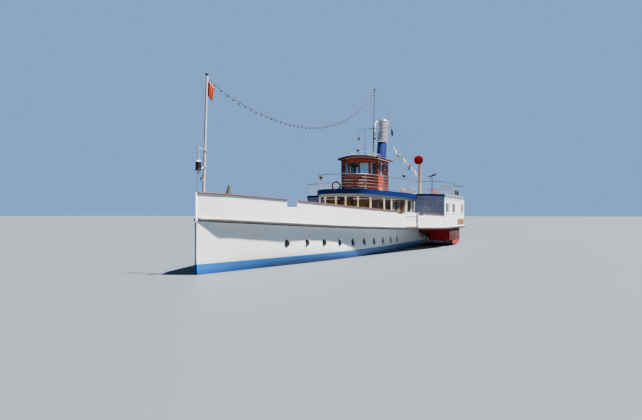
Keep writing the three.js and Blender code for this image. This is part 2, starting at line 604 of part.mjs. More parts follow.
const PILLAR_RADIUS = 55;
const LAST_PILLAR = 23440;
const wholeBow = [...mirrored(SUN_FRONT), ...SUN_FRONT];
const pillarPath = offset(wholeBow, PILLAR_INSET);
const headerBody = slab(sunGrid, (s, p) => sunBottom(s, p) - HEADER_DROP, () => HIGH);
const headerZone = zone([0, SPONSON_FRONT - 120]);
const header = band(pillarPath, -40, 40).intersect(headerBody).intersect(headerZone);
const lastRow = follow(pillarPath.slice(-2), LAST_PILLAR);
const pillarFeet = [[LAST_PILLAR, -lastRow], ...pillarPath.slice(1, -1), [LAST_PILLAR, lastRow]];
const posts = pillarFeet.map(([s, p]) => (
  rod([s, p, mainBottom(s)], [s, p, sunTop(s, p)], PILLAR_RADIUS, 6)
));
part("deck_pillars", betweenDecks(join([header, ...posts])), SHADE_WHITE);

// Sun deck, with the openings for the funnel casing and the stair

const holeHalf = CASING.half + SEAT_GAP;
const funnelHole = box([CASING.s[0] - SEAT_GAP, CASING.s[1] + SEAT_GAP], [-holeHalf, holeHalf], [LOW, HIGH]);
const stairHole = box(STAIR.s, [-STAIR.half, STAIR.half], [LOW, HIGH]);
const sunPlate = slab(sunGrid, sunBottom, sunTop).intersect(prism(sunOutline, "up", LOW, HIGH));
const openSunDeck = cut(sunPlate, [funnelHole, stairHole]);
part("sun_deck", openSunDeck.intersect(zone([0, SPONSON_BACK - SEAT_GAP])), NAVY);
part("sun_deck_aft", openSunDeck.intersect(zone([SPONSON_BACK, LENGTH])), NAVY);

// Railings round the sun deck: posts, a hand rail and a middle rail

const RAIL = { height: 1000, middle: 520, radius: 24, post: 34, spacing: 2300, inset: 70 };
function railing(path) {
  const points = path.flatMap((point, i) => {
    if (i === 0) return [point];
    const [before, way] = [path[i - 1], [point[0] - path[i - 1][0], point[1] - path[i - 1][1]]];
    const steps = Math.ceil(Math.hypot(way[0], way[1]) / RAIL.spacing);
    return Array.from({ length: steps }, (_, k) => [
      before[0] + (way[0] * (k + 1)) / steps, before[1] + (way[1] * (k + 1)) / steps,
    ]);
  });
  const at = ([s, p], rise) => [s, p, sunTop(s, p) + rise];
  const pieces = points.map((point) => rod(at(point, -150), at(point, RAIL.height + BITE), RAIL.post, 4));
  for (let i = 1; i < points.length; i += 1) {
    for (const rise of [RAIL.height - 20, RAIL.middle]) {
      pieces.push(rod(at(points[i - 1], rise), at(points[i], rise), RAIL.radius, 4));
    }
  }
  return onSun(join(pieces));
}
const edge = (p) => p - RAIL.inset;
const bowRail = offset(wholeBow, RAIL.inset);
const railEnd = SPONSON_FRONT - 100;
const railRow = edge(follow(SUN_FRONT, SPONSON_FRONT));
part("railing_fore", railing([
  [railEnd, -railRow], ...bowRail.slice(1, -1), [railEnd, railRow],
]), SHADE_WHITE);
pair("railing_sponson", railing([
  [SPONSON_FRONT + RAIL.inset, railRow], [SPONSON_FRONT + RAIL.inset, edge(HALF_BEAM)],
  [SPONSON_BACK - RAIL.inset, edge(HALF_BEAM)], [SPONSON_BACK - RAIL.inset, edge(3400) + 60],
]), SHADE_WHITE);
const aftRail = offset([[SPONSON_BACK + 120, 3400], ...SUN_STERN.slice(1)], RAIL.inset);
part("railing_aft", railing([...aftRail, ...mirrored(aftRail)]), SHADE_WHITE);

// Stair from the main deck to the sun deck

function stair() {
  const foot = mainTop(STAIR.s[1]);
  const head = sunTop(STAIR.s[0], 0);
  const run = [STAIR.s[1] - 250, STAIR.s[0] + 60];
  const outline = [
    [run[0], foot - 200], [run[0] - 300, foot - 200], [run[1], head - 420], [run[1], head - 60],
    [run[1] + 180, head - 60], [run[0], foot + 180],
  ];
  const cheek = prism(outline, "across", STAIR.half - 80, STAIR.half - 30);
  const tread = { count: 10, front: 60, back: 190, thick: 45, half: STAIR.half - 50 };
  const treads = Array.from({ length: tread.count }, (_, k) => {
    const share = (k + 1) / (tread.count + 1);
    const s = run[0] + (run[1] - run[0]) * share;
    const z = foot + (head - foot - 60) * share;
    return box([s - tread.front, s + tread.back], [-tread.half, tread.half], [z - tread.thick, z]);
  });
  return onMain(join([cheek, mirror(cheek), ...treads]));
}
part("stair", stair(), TEAK);

// Wheelhouse: varnished front, sides and back with window openings, under a crowned roof

const roofHeight = (p) => HOUSE_ROOF.crown
  - (HOUSE_ROOF.crown - HOUSE_ROOF.eave) * (p / HOUSE_ROOF.half) ** 2;
const roofGrid = { stations: [19500, 24000], columns: [-1800, -1200, -600, 0, 600, 1200, 1800] };
const roofUnder = slab(roofGrid, (s, p) => roofHeight(p) - HOUSE_ROOF.thick - SEAT_GAP, () => HIGH + 500);
const roofOutline = [
  [HOUSE_ROOF.front + 250, HOUSE_ROOF.half], [HOUSE_ROOF.front, 800], [HOUSE_ROOF.front, -800],
  [HOUSE_ROOF.front + 250, -HOUSE_ROOF.half], [HOUSE_ROOF.back, -HOUSE_ROOF.half],
  [HOUSE_ROOF.back, HOUSE_ROOF.half],
];
const roofPlate = slab(roofGrid, (s, p) => roofHeight(p) - HOUSE_ROOF.thick, (s, p) => roofHeight(p));
const mastHole = box([23380, 24000], [-130, 130], [LOW, HIGH]);
const roof = roofPlate.intersect(prism(roofOutline, "up", LOW, HIGH)).subtract(mastHole);
part("wheelhouse_roof", roof, MAHOGANY);

const underRoof = (solid) => onSun(solid).subtract(roofUnder);
const houseFrontPath = [
  [HOUSE.corner, HOUSE.half], [HOUSE.front, 750], [HOUSE.front, -750], [HOUSE.corner, -HOUSE.half],
];
const houseFrontPanes = [[50, 700], [830, 1200]].map((p) => (
  box([HOUSE.front - 200, HOUSE.front + 400], p, HOUSE_WINDOWS)
));
const houseFront = band(houseFrontPath, 0, -HOUSE.wall).intersect(zone([0, HOUSE.corner]));
const houseSide = zone([HOUSE.corner - BITE, HOUSE.back], [HOUSE.half - HOUSE.wall, HOUSE.half]);
const houseBack = zone([HOUSE.back - HOUSE.wall, HOUSE.back], [BITE - HOUSE.half, HOUSE.half - BITE]);
const SIDE_PANE = [21150, 21950];
const doorwayZ = [sunTop(HOUSE_DOOR[0], 0) + SILL, sunTop(HOUSE_DOOR[0], 0) + SILL + DOOR_HEIGHT];
const houseCuts = [
  ...houseFrontPanes, box(SIDE_PANE, acrossWall(HOUSE.half), HOUSE_WINDOWS),
  box(HOUSE_DOOR, acrossWall(HOUSE.half), doorwayZ), box(acrossWall(HOUSE.back), [150, 1050], HOUSE_WINDOWS),
];
const houseWalls = underRoof(join([houseFront, houseSide, mirror(houseSide), houseBack]));
part("wheelhouse_walls", cut(houseWalls, [...houseCuts, ...houseCuts.map(mirror)]), MAHOGANY);

const houseHinge = HOUSE_DOOR[0] + PIN.radius + PIN.clear;
const houseDoorPanel = box(
  [houseHinge, HOUSE_DOOR[1] - DOOR_GAP], [HOUSE.half - DOOR_THICK, HOUSE.half],
  [doorwayZ[0] + DOOR_GAP, doorwayZ[1] - DOOR_GAP],
);
const houseDoorPane = box(
  [HOUSE_DOOR[0] + DOOR_STILE, HOUSE_DOOR[1] - DOOR_STILE], acrossWall(HOUSE.half),
  [HOUSE_WINDOWS[0], doorwayZ[1] - DOOR_STILE],
);
const pinZ = [doorwayZ[0] + SEAT_GAP, doorwayZ[1] - SEAT_GAP];
const houseDoorPin = rod([houseHinge, HOUSE.half, pinZ[0]], [houseHinge, HOUSE.half, pinZ[1]], PIN.radius);
pair("wheelhouse_door", houseDoorPanel.subtract(houseDoorPane).add(houseDoorPin), MAHOGANY);

// Helm: pedestal and the spoked steering wheel on its aft side

const HELM = { s: 21420, z: 4880, radius: 420, rim: 28, spoke: 18, tip: 550, boss: 90, thick: 90 };
const STAND = { s: [20950, 21250], half: 180, top: 5050 };
const helmStand = onSun(box(STAND.s, [-STAND.half, STAND.half], [LOW, STAND.top]));
const bossFace = HELM.s - HELM.thick / 2;
const helmSpindle = rod([STAND.s[1] - 50, 0, HELM.z], [bossFace - SEAT_GAP, 0, HELM.z], HELM.boss / 2, 12);
part("helm_stand", helmStand.add(helmSpindle), MAHOGANY);

function helmWheel() {
  const rim = new THREE.TorusGeometry(HELM.radius, HELM.rim, 4, 16);
  const pieces = [toSolid(rim.rotateY(Math.PI / 2).translate(along(HELM.s), 0, HELM.z))];
  for (let k = 0; k < 4; k += 1) {
    const turn = (Math.PI * k) / 4;
    const tip = [HELM.tip * Math.cos(turn), HELM.tip * Math.sin(turn)];
    pieces.push(rod([HELM.s, -tip[0], HELM.z - tip[1]], [HELM.s, tip[0], HELM.z + tip[1]], HELM.spoke, 6));
  }
  pieces.push(rod([bossFace, 0, HELM.z], [bossFace + HELM.thick, 0, HELM.z], HELM.boss, 12));
  return join(pieces);
}
part("helm_wheel", helmWheel(), MAHOGANY);

// Funnel: casing through both decks, raked stack with a wider bright sleeve, open at the top

function funnel() {
  const foot = new THREE.Vector3(along(FUNNEL.foot[0]), 0, FUNNEL.foot[2]);
  const top = new THREE.Vector3(along(FUNNEL.top[0]), 0, FUNNEL.top[2]);
  const way = top.clone().sub(foot);
  const height = way.length();
  const bandAt = (height * (FUNNEL.band - FUNNEL.foot[2])) / (FUNNEL.top[2] - FUNNEL.foot[2]);
  const flue = { radius: 350, floor: height - 1500 };
  const profile = [
    [0, 0], [FUNNEL.radius, 0], [FUNNEL.radius, bandAt], [FUNNEL.sleeve, bandAt + 30],
    [FUNNEL.sleeve, height], [flue.radius, height], [flue.radius, flue.floor], [0, flue.floor],
  ].map(([r, h]) => new THREE.Vector2(r, h));
  const stack = new THREE.LatheGeometry(profile, 20);
  const turn = new THREE.Quaternion().setFromUnitVectors(new THREE.Vector3(0, 1, 0), way.normalize());
  stack.applyQuaternion(turn);
  stack.translate(foot.x, foot.y, foot.z);
  const casing = box(
    CASING.s, [-CASING.half, CASING.half], [LOW, sunTop(CASING.s[0], 0) + CASING.rise],
  );
  return onMain(casing).add(toSolid(stack));
}
part("funnel", funnel(), NAVY);

// Masts, with the lugs that hold the string of lights

const pointOn = (mast, z) => {
  const share = (z - mast.foot[2]) / (mast.top[2] - mast.foot[2]);
  return mast.foot[0] + (mast.top[0] - mast.foot[0]) * share;
};
const LIGHTS = { bow: 7950, main: 11500, radius: 12 };
const LUG = { reach: 120, bite: 130, half: 15, tall: 60 };
const bowLug = pointOn(BOW_MAST, LIGHTS.bow) + LUG.reach;
const mainLug = pointOn(MAIN_MAST, LIGHTS.main) - LUG.reach;
const lug = (from, z) => box([from, from + LUG.bite], [-LUG.half, LUG.half], [z - LUG.tall, z + LUG.tall]);

const BRACKET = { arm: 5000, strut: 4350, radius: 26, end: 150, hanger: 190 };
const LANTERN = { z: [4120, 4560], radius: 130 };
function bowMast() {
  const pole = rod(BOW_MAST.foot, BOW_MAST.top, 70, 12, 50);
  const brace = (from, to) => rod(from, to, BRACKET.radius, 6);
  const arm = brace([pointOn(BOW_MAST, BRACKET.arm), 0, BRACKET.arm], [BRACKET.end, 0, BRACKET.arm + 60]);
  const strutFoot = [pointOn(BOW_MAST, BRACKET.strut), 0, BRACKET.strut];
  const strut = brace(strutFoot, [BRACKET.end, 0, BRACKET.strut - 300]);
  const hanger = brace([BRACKET.hanger, 0, BRACKET.strut - 360], [BRACKET.hanger, 0, BRACKET.arm + 80]);
  const lantern = rod([BRACKET.hanger, 0, LANTERN.z[0]], [BRACKET.hanger, 0, LANTERN.z[1]], LANTERN.radius);
  return onMain(join([pole, lug(bowLug - LUG.bite, LIGHTS.bow), arm, strut, hanger, lantern]));
}
part("bow_mast", bowMast(), WHITE);

const YARD = { z: 8850, half: 1450, radius: 38 };
function mainMast() {
  const pole = rod(MAIN_MAST.foot, MAIN_MAST.top, 90, 12, 45);
  const yardS = pointOn(MAIN_MAST, YARD.z);
  const yard = rod([yardS, -YARD.half, YARD.z], [yardS, YARD.half, YARD.z], YARD.radius, 6);
  return onSun(join([pole, yard, lug(mainLug, LIGHTS.main)]));
}
part("main_mast", mainMast(), WHITE);

// String of lights hanging between the masts: s, z along its route
const LIGHT_ROUTE = [
  [bowLug + 4, LIGHTS.bow], [2800, 7500], [7000, 7160], [11900, 7380], [16900, 8430],
  [20800, 9950], [mainLug - 8, LIGHTS.main],
];
function lightString() {
  const points = LIGHT_ROUTE.map(([s, z]) => new THREE.Vector3(along(s), 0, z));
  const curve = new THREE.CatmullRomCurve3(points, false, "centripetal");
  const section = new THREE.Shape();
  section.absarc(0, 0, LIGHTS.radius, 0, 2 * Math.PI);
  return toSolid(new THREE.ExtrudeGeometry(section, { extrudePath: curve, steps: 50, curveSegments: 4 }));
}
part("light_string", lightString(), BLACK);

// Cowl ventilators: upright pipe into a bell mouth that faces forward

function cowlVent() {
  const bell = [
    [0, -420], [190, -390], [300, -220], [372, 0], [VENT.mouth, 120], [355, 120], [315, -40], [180, -240],
    [0, -270],
  ].map(([r, h]) => new THREE.Vector2(r, h));
  const cowl = new THREE.LatheGeometry(bell, 16);
  cowl.rotateZ(-Math.PI / 2);
  cowl.translate(along(VENT.s) + 200, VENT.p, VENT.z);
  const pipeS = VENT.s + VENT.behind;
  const foot = sunBottom(pipeS, VENT.p);
  const upright = (top, radius) => rod([pipeS, VENT.p, foot], [pipeS, VENT.p, top], radius, 12);
  return onSun(join([toSolid(cowl), upright(VENT.z - 60, VENT.pipe), upright(VENT.foot, VENT.collar)]));
}
pair("cowl_vent", cowlVent(), SILVER);

// Deck gear: canvas-covered windlass, mooring bitts, benches and the ensign staff

const COVER = { s: 2590, radius: 600, rise: 1580, tip: 30 };
const coverFoot = mainTop(COVER.s);
part("windlass_cover", onMain(rod(
  [COVER.s, 0, coverFoot - BITE], [COVER.s, 0, coverFoot + COVER.rise], COVER.radius, 16, COVER.tip,
)), CANVAS);

const BITTS = { base: [350, 130], foot: 45, apart: 200, radius: 85, height: 460 };
function bitts(s, p) {
  const [half, wide] = BITTS.base;
  const base = box([s - half, s + half], [p - wide, p + wide], [LOW, mainTop(s) + BITTS.foot]);
  const bollards = [s - BITTS.apart, s + BITTS.apart].map((at) => (
    rod([at, p, mainBottom(s)], [at, p, mainTop(s) + BITTS.height], BITTS.radius, 10)
  ));
  return onMain(join([base, ...bollards]));
}
pair("bitts_fore", bitts(5475, 1150), IRON);
pair("bitts_aft", bitts(42600, 2750), IRON);

const BENCH = {
  long: 3400, seatHalf: 420, seat: [420, 470], backHalf: 30, back: 880, legs: [300, 1650, 3000],
};
function bench(s, p) {
  const z = sunTop(s, p);
  const run = [s, s + BENCH.long];
  const seat = box(run, [p - BENCH.seatHalf, p + BENCH.seatHalf], BENCH.seat.map((rise) => z + rise));
  const back = box(run, [p - BENCH.backHalf, p + BENCH.backHalf], [z + BENCH.seat[0], z + BENCH.back]);
  const legs = BENCH.legs.map((at) => (
    box([s + at, s + at + 60], [p - BENCH.seatHalf + 40, p + BENCH.seatHalf - 40], [LOW, z + BENCH.seat[1]])
  ));
  return onSun(join([seat, back, ...legs]));
}
pair("bench", bench(37200, 1500), TEAK);

const STAFF = { foot: [47000, 0, 1500], top: [47750, 0, 4600], radius: 45, tip: 30 };
part("ensign_staff", onMain(rod(STAFF.foot, STAFF.top, STAFF.radius, 8, STAFF.tip)), WHITE);

ship.scale.setScalar(MODEL_SCALE);

export default ship;
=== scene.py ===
"""Side-wheel lake steamer, afloat: the looks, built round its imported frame.

The frame is a half-size model in metres, with +X forward, +Y to port and +Z up from the waterline.
Sizes in this file are the full-size ship's, in millimetres: s aft of the stem, p to port of the
centreline and z above the water. place() turns them into the frame's metres.
"""

import math

import bmesh
import bpy
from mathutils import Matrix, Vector


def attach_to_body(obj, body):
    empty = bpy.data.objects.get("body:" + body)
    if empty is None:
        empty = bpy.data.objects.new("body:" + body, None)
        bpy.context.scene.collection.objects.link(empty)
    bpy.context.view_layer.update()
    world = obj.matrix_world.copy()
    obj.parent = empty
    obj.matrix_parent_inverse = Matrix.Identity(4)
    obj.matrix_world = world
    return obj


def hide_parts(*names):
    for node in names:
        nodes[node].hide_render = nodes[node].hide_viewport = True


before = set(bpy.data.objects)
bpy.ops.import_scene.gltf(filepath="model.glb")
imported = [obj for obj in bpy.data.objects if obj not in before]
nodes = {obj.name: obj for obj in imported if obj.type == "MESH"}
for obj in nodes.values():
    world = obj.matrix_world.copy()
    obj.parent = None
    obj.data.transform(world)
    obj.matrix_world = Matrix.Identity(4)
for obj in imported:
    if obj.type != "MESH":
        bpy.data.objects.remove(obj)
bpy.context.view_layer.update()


# Camera
# Stands ahead of the ship and to port of her, 2.4 m above the water at full size, and is held
# level to half a degree. Its lens is 35 mm long over a sensor 36 mm wide.

MIDSHIPS = 24000
TO_METRES = 0.5 / 1000


def place(s, p, z):
    """A point of the ship, in millimetres, as a point of the frame."""
    return Vector((MIDSHIPS - s, p, z)) * TO_METRES


def add_object(name, data):
    """A new object in the scene, with its data."""
    added = bpy.data.objects.new(name, data)
    bpy.context.scene.collection.objects.link(added)
    return added


VIEW_FROM = Vector((22.45, 6.9, 1.205))
VIEW_ALONG = Vector((-0.927, -0.375, 0.0065))
camera_data = bpy.data.cameras.new("view")
camera_data.lens = 34.8
camera_data.sensor_width = 36
camera_data.clip_end = 400
camera = add_object("view", camera_data)
camera.location = VIEW_FROM
camera.rotation_euler = VIEW_ALONG.to_track_quat("-Z", "Y").to_euler()
bpy.context.scene.camera = camera


# String of lights
# A black rubber cable with small lamps, hung in one sag between a lug on each mast. The cable is
# made fast to the lugs, and each lamp's cap is clipped on under it.

LIGHTS_ROUTE = [
    (917, 7950), (2800, 7500), (7000, 7160), (11900, 7380), (16900, 8430), (20800, 9950), (23855, 11500),
]
LIGHTS_RADIUS = 12
LIGHTS_SPACING = 530
LAMP = [(16, 20), (22, 6), (24, -20), (34, -32), (42, -52), (42, -72), (30, -92), (12, -104)]


def smooth_route(points, steps=12):
    """A centripetal curve through the points, with that many steps between each two."""
    points = [Vector(point) for point in points]
    points = [points[0] * 2 - points[1], *points, points[-1] * 2 - points[-2]]
    route = []
    for i in range(1, len(points) - 2):
        four = points[i - 1:i + 3]
        knots = [0.0]
        for a, b in zip(four, four[1:]):
            knots.append(knots[-1] + (b - a).length ** 0.5)
        for step in range(steps):
            t = knots[1] + (knots[2] - knots[1]) * step / steps
            level = four
            for width in (1, 2):
                level = [a.lerp(b, (t - knots[k]) / (knots[k + width] - knots[k]))
                         for k, (a, b) in enumerate(zip(level, level[1:]))]
            route.append(level[0].lerp(level[1], (t - knots[1]) / (knots[2] - knots[1])))
    return [*route, points[-2]]


def add_skin(bm, rings, looped=False, foot=True):
    """Faces between closed rings of points, with flat ends, or with the last joined to the first."""
    rows = [[bm.verts.new(point) for point in ring] for ring in rings]
    for i in range(len(rows) - (0 if looped else 1)):
        a, b = rows[i], rows[(i + 1) % len(rows)]
        for k in range(len(a)):
            bm.faces.new((a[k - 1], a[k], b[k], b[k - 1]))
    if foot and not looped:
        bm.faces.new(rows[0])
    if not looped:
        bm.faces.new(rows[-1])


def spokes(side, up, count):
    """Directions spread evenly round the line that side and up stand square to."""
    turns = [2 * math.pi * k / count for k in range(count)]
    return [side * math.cos(turn) + up * math.sin(turn) for turn in turns]


def add_tube(bm, route, radius, sides=8):
    """Round bar along a route."""
    route = [Vector(point) for point in route]
    side = (route[1] - route[0]).orthogonal().normalized()
    rings = []
    for i, point in enumerate(route):
        way = (route[min(i + 1, len(route) - 1)] - route[max(i - 1, 0)]).normalized()
        side = (side - way * side.dot(way)).normalized()
        rings.append([point + ray * radius for ray in spokes(side, way.cross(side), sides)])
    add_skin(bm, rings)


def add_turned(bm, foot, top, profile, sides=24):
    """Turned shape on the line from foot to top, from pairs of a radius and a height above the foot."""
    foot, top = Vector(foot), Vector(top)
    way = (top - foot).normalized()
    side = way.orthogonal().normalized()
    around = spokes(side, way.cross(side), sides)
    add_skin(bm, [
        [foot + way * height + ray * max(radius, 0.5) for ray in around] for radius, height in profile])


def add_upright(bm, foot, profile, sides=24):
    """Turned shape that stands upright on its foot."""
    add_turned(bm, foot, Vector(foot) + Vector((0, 0, 1)), profile, sides)


def add_other_side(bm):
    """The same shape again on the starboard side."""
    copy = bmesh.ops.duplicate(bm, geom=bm.verts[:] + bm.edges[:] + bm.faces[:])
    for vert in copy["geom"]:
        if isinstance(vert, bmesh.types.BMVert):
            vert.co.y = -vert.co.y


def make_mesh(bm, name, finish, sharp=35, bevel=0, in_ship=True):
    """A piece from faces in the ship's millimetres, in the frame's metres. bm is left empty for the next."""
    for vert in bm.verts:
        vert.co = place(*vert.co) if in_ship else vert.co * TO_METRES
    bmesh.ops.recalc_face_normals(bm, faces=bm.faces)
    mesh = bpy.data.meshes.new(name)
    bm.to_mesh(mesh)
    bm.clear()
    mesh.materials.append(finish)
    mesh.polygons.foreach_set("use_smooth", [True] * len(mesh.polygons))
    mesh.set_sharp_from_angle(angle=math.radians(sharp))
    piece = add_object(name, mesh)
    if bevel:
        edge = piece.modifiers.new("eased edges", "BEVEL")
        edge.width = bevel * TO_METRES
        edge.segments = 2
        edge.limit_method = "ANGLE"
    return piece


def add_node(tree, kind, inputs=None, **settings):
    """A node with its settings, and its inputs given as values or as other nodes' outputs."""
    node = tree.nodes.new(kind)
    for name, value in settings.items():
        setattr(node, name, value)
    for name, value in (inputs or {}).items():
        if isinstance(value, bpy.types.NodeSocket):
            tree.links.new(value, node.inputs[name])
        else:
            node.inputs[name].default_value = value
    return node


def mix(tree, share, first, second):
    """The colour between two colours at a share from 0 to 1."""
    node = add_node(tree, "ShaderNodeMix", {0: share, 6: first, 7: second}, data_type="RGBA")
    return node.outputs[2]


def math_node(tree, operation, first, second=0.0, third=0.0):
    inputs = {0: first, 1: second, 2: third}
    return add_node(tree, "ShaderNodeMath", inputs, operation=operation).outputs[0]


def spot_of(tree):
    return add_node(tree, "ShaderNodeTexCoord").outputs["Object"]


def noise(tree, spot, scale, detail):
    return add_node(tree, "ShaderNodeTexNoise",
                    {"Vector": spot, "Scale": scale, "Detail": detail}).outputs[0]


def map_range(tree, value, low, high, start=0.0, end=1.0):
    """How far a value is from low to high, as a share or between two other values."""
    return add_node(tree, "ShaderNodeMapRange", {0: value, 1: low, 2: high, 3: start, 4: end}).outputs[0]


def shader_group(name, inputs, outputs):
    """An empty group of shader nodes with float inputs, and one for a place where it has one."""
    tree = bpy.data.node_groups.new(name, "ShaderNodeTree")
    for label, value in inputs.items():
        kind = "NodeSocketVector" if label == "Vector" else "NodeSocketFloat"
        tree.interface.new_socket(label, in_out="INPUT", socket_type=kind).default_value = value
    for label in outputs:
        tree.interface.new_socket(label, in_out="OUTPUT", socket_type="NodeSocketFloat")
    return tree, tree.nodes.new("NodeGroupInput").outputs, tree.nodes.new("NodeGroupOutput").inputs


def place_group(tree, group, values):
    """A group placed in a material with its own values."""
    return add_node(tree, "ShaderNodeGroup", values, node_tree=group).outputs


def weathering_group():
    """Marks of sun, rain and lake water: long streaks down, soft blotches and a fine skin."""
    tree, given, out = shader_group(
        "Weathering", {"Size": 1.0, "Streaks": 0.5, "Blotches": 0.5}, ["Soiled", "Dull", "Height"])
    spot = spot_of(tree)
    scaled = add_node(tree, "ShaderNodeVectorMath", {0: spot, "Scale": given["Size"]},
                      operation="SCALE").outputs[0]
    drawn = add_node(tree, "ShaderNodeMapping", {"Vector": scaled, "Scale": (9, 9, 0.55)}).outputs[0]
    streak = noise(tree, drawn, 1.6, 5)
    blotch = noise(tree, scaled, 1.1, 6)
    skin = noise(tree, scaled, 55, 3)
    lines = math_node(tree, "MULTIPLY", map_range(tree, streak, 0.5, 0.78), given["Streaks"])
    spots = math_node(tree, "MULTIPLY", map_range(tree, blotch, 0.42, 0.75), given["Blotches"])
    both = math_node(tree, "ADD", lines, spots)
    tree.links.new(math_node(tree, "MINIMUM", both, 1.0), out["Soiled"])
    tree.links.new(math_node(tree, "MULTIPLY", blotch, skin), out["Dull"])
    tree.links.new(math_node(tree, "ADD", skin, streak), out["Height"])
    return tree


weathering = weathering_group()


def weather(tree, size, streaks, blotches):
    return place_group(tree, weathering, {"Size": size, "Streaks": streaks, "Blotches": blotches})


def new_material(name, **sockets):
    """A material's tree and its shader, with plain values set on the shader's own sockets."""
    material = bpy.data.materials.new(name)
    material.use_nodes = True
    shader = material.node_tree.nodes["Principled BSDF"]
    for label, value in sockets.items():
        shader.inputs[label.replace("_", " ")].default_value = value
    return material, material.node_tree, shader


def set_looks(shader, colour, gloss, span, rough, height=None, strength=0.25, depth=0.001):
    """A finish's colour, its roughness as its gloss goes over a span, and its bumps."""
    tree = shader.id_data
    tree.links.new(colour, shader.inputs["Base Color"])
    tree.links.new(map_range(tree, gloss, *span, *rough), shader.inputs["Roughness"])
    if height is not None:
        bump = add_node(tree, "ShaderNodeBump", {"Height": height, "Strength": strength, "Distance": depth})
        tree.links.new(bump.outputs[0], shader.inputs["Normal"])


def worn_finish(name, clean, soiled, rough=(0.35, 0.6), size=1.0, streaks=0.4, blotches=0.35, depth=0.001,
                **sockets):
    """Paint, rubber or metal whose colour and gloss the weather has broken up."""
    material, tree, shader = new_material(name, **sockets)
    marks = weather(tree, size, streaks, blotches)
    colour = mix(tree, marks["Soiled"], (*clean, 1), (*soiled, 1))
    set_looks(shader, colour, marks["Dull"], (0.1, 0.45), rough, marks["Height"], 0.25, depth)
    return material


def items_tree(name, fills):
    """A tree that sets an item at places, with its line's spacing or its places' facings read by fills()."""
    tree = bpy.data.node_groups.new(name, "GeometryNodeTree")
    for label, kind in (("Places", "Geometry"), ("Spacing", "Float"), ("Item", "Object"),
                        ("Finish", "Material")):
        tree.interface.new_socket(label, in_out="INPUT", socket_type="NodeSocket" + kind)
    tree.interface.new_socket("Items", in_out="OUTPUT", socket_type="NodeSocketGeometry")
    given = tree.nodes.new("NodeGroupInput").outputs
    points, turn = fills(tree, given)
    item = add_node(tree, "GeometryNodeObjectInfo", {"Object": given["Item"], "As Instance": True})
    placed = add_node(tree, "GeometryNodeInstanceOnPoints", {
        "Points": points, "Instance": item.outputs["Geometry"], "Rotation": turn})
    real = add_node(tree, "GeometryNodeRealizeInstances", {"Geometry": placed.outputs[0]})
    finish = add_node(tree, "GeometryNodeSetMaterial", {
        "Geometry": real.outputs[0], "Material": given["Finish"]})
    tree.links.new(finish.outputs[0], tree.nodes.new("NodeGroupOutput").inputs["Items"])
    return tree


def fill_line(tree, given):
    """Evenly spaced points of a line, each item's +X turned to run with it and its +Z kept up."""
    inputs = {"Curve": given["Places"], "Length": given["Spacing"]}
    steps = add_node(tree, "GeometryNodeResampleCurve", inputs, mode="LENGTH")
    way = add_node(tree, "GeometryNodeInputTangent").outputs[0]
    turn = add_node(tree, "FunctionNodeAlignRotationToVector", {"Vector": way}, axis="X", pivot_axis="Z")
    return steps.outputs[0], turn.outputs[0]


def fill_places(tree, given):
    """Every place given, each item's +Z turned to face the way that is kept with the place."""
    facing = add_node(tree, "GeometryNodeInputNamedAttribute", {"Name": "facing"}, data_type="FLOAT_VECTOR")
    turn = add_node(tree, "FunctionNodeAlignRotationToVector", {"Vector": facing.outputs[0]}, axis="Z")
    return given["Places"], turn.outputs[0]


along_line = items_tree("Set along a line", fill_line)
at_places = items_tree("Set at places", fill_places)


def grow(name, data, tree, item, finish, spacing=0.0):
    """One plain mesh of the copies that a tree makes of an item. The item is used up."""
    holder = add_object(name + "_places", data)
    step = holder.modifiers.new("items", "NODES")
    step.node_group = tree
    sockets = {s.name: s.identifier for s in tree.interface.items_tree if s.in_out == "INPUT"}
    step[sockets["Spacing"]] = float(spacing * TO_METRES)
    step[sockets["Item"]] = item
    step[sockets["Finish"]] = finish
    ready = holder.evaluated_get(bpy.context.evaluated_depsgraph_get())
    mesh = bpy.data.meshes.new_from_object(ready)
    holder.modifiers.remove(step)
    bpy.data.objects.remove(holder)
    bpy.data.objects.remove(item)
    mesh.name = name
    return add_object(name, mesh)


def set_along(name, routes, spacing, item, finish):
    """Copies of the item along routes in the ship's millimetres, a spacing apart."""
    line = bpy.data.curves.new(name, "CURVE")
    line.dimensions = "3D"
    for route in routes:
        spline = line.splines.new("POLY")
        spline.points.add(len(route) - 1)
        for point, spot in zip(spline.points, route):
            point.co = (*place(*spot), 1)
    return grow(name, line, along_line, item, finish, spacing)


def set_at(name, spots, item, finish):
    """Copies of the item at places, each a point of the ship and the way that it faces."""
    mesh = bpy.data.meshes.new(name)
    mesh.from_pydata([place(*spot) for spot, way in spots], [], [])
    facing = mesh.attributes.new("facing", "FLOAT_VECTOR", "POINT")
    for value, (spot, way) in zip(facing.data, spots):
        value.vector = (-way[0], way[1], way[2])
    return grow(name, mesh, at_places, item, finish)


def turned_item(profile, finish, sides):
    """A small turned shape that stands on its own, to be copied."""
    bm = bmesh.new()
    add_upright(bm, (0, 0, 0), profile, sides)
    return make_mesh(bm, "item", finish, in_ship=False)


def attach(piece, slot, *stands_for, on="ship"):
    """A piece fixed to a body, with the frame's nodes that it stands for hidden. Its slot is not used."""
    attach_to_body(piece, on)
    if stands_for:
        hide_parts(*stands_for)


def fit(bm, name, finish, slot, *stands_for, on="ship", both=False, **how):
    """A piece from faces, on the port side or on both, attached to the ship or to another body."""
    if both:
        add_other_side(bm)
    piece = make_mesh(bm, name, finish, **how)
    attach(piece, slot, *stands_for, on=on)
    return piece


def route_length(route):
    return sum((b - a).length for a, b in zip(route, route[1:]))


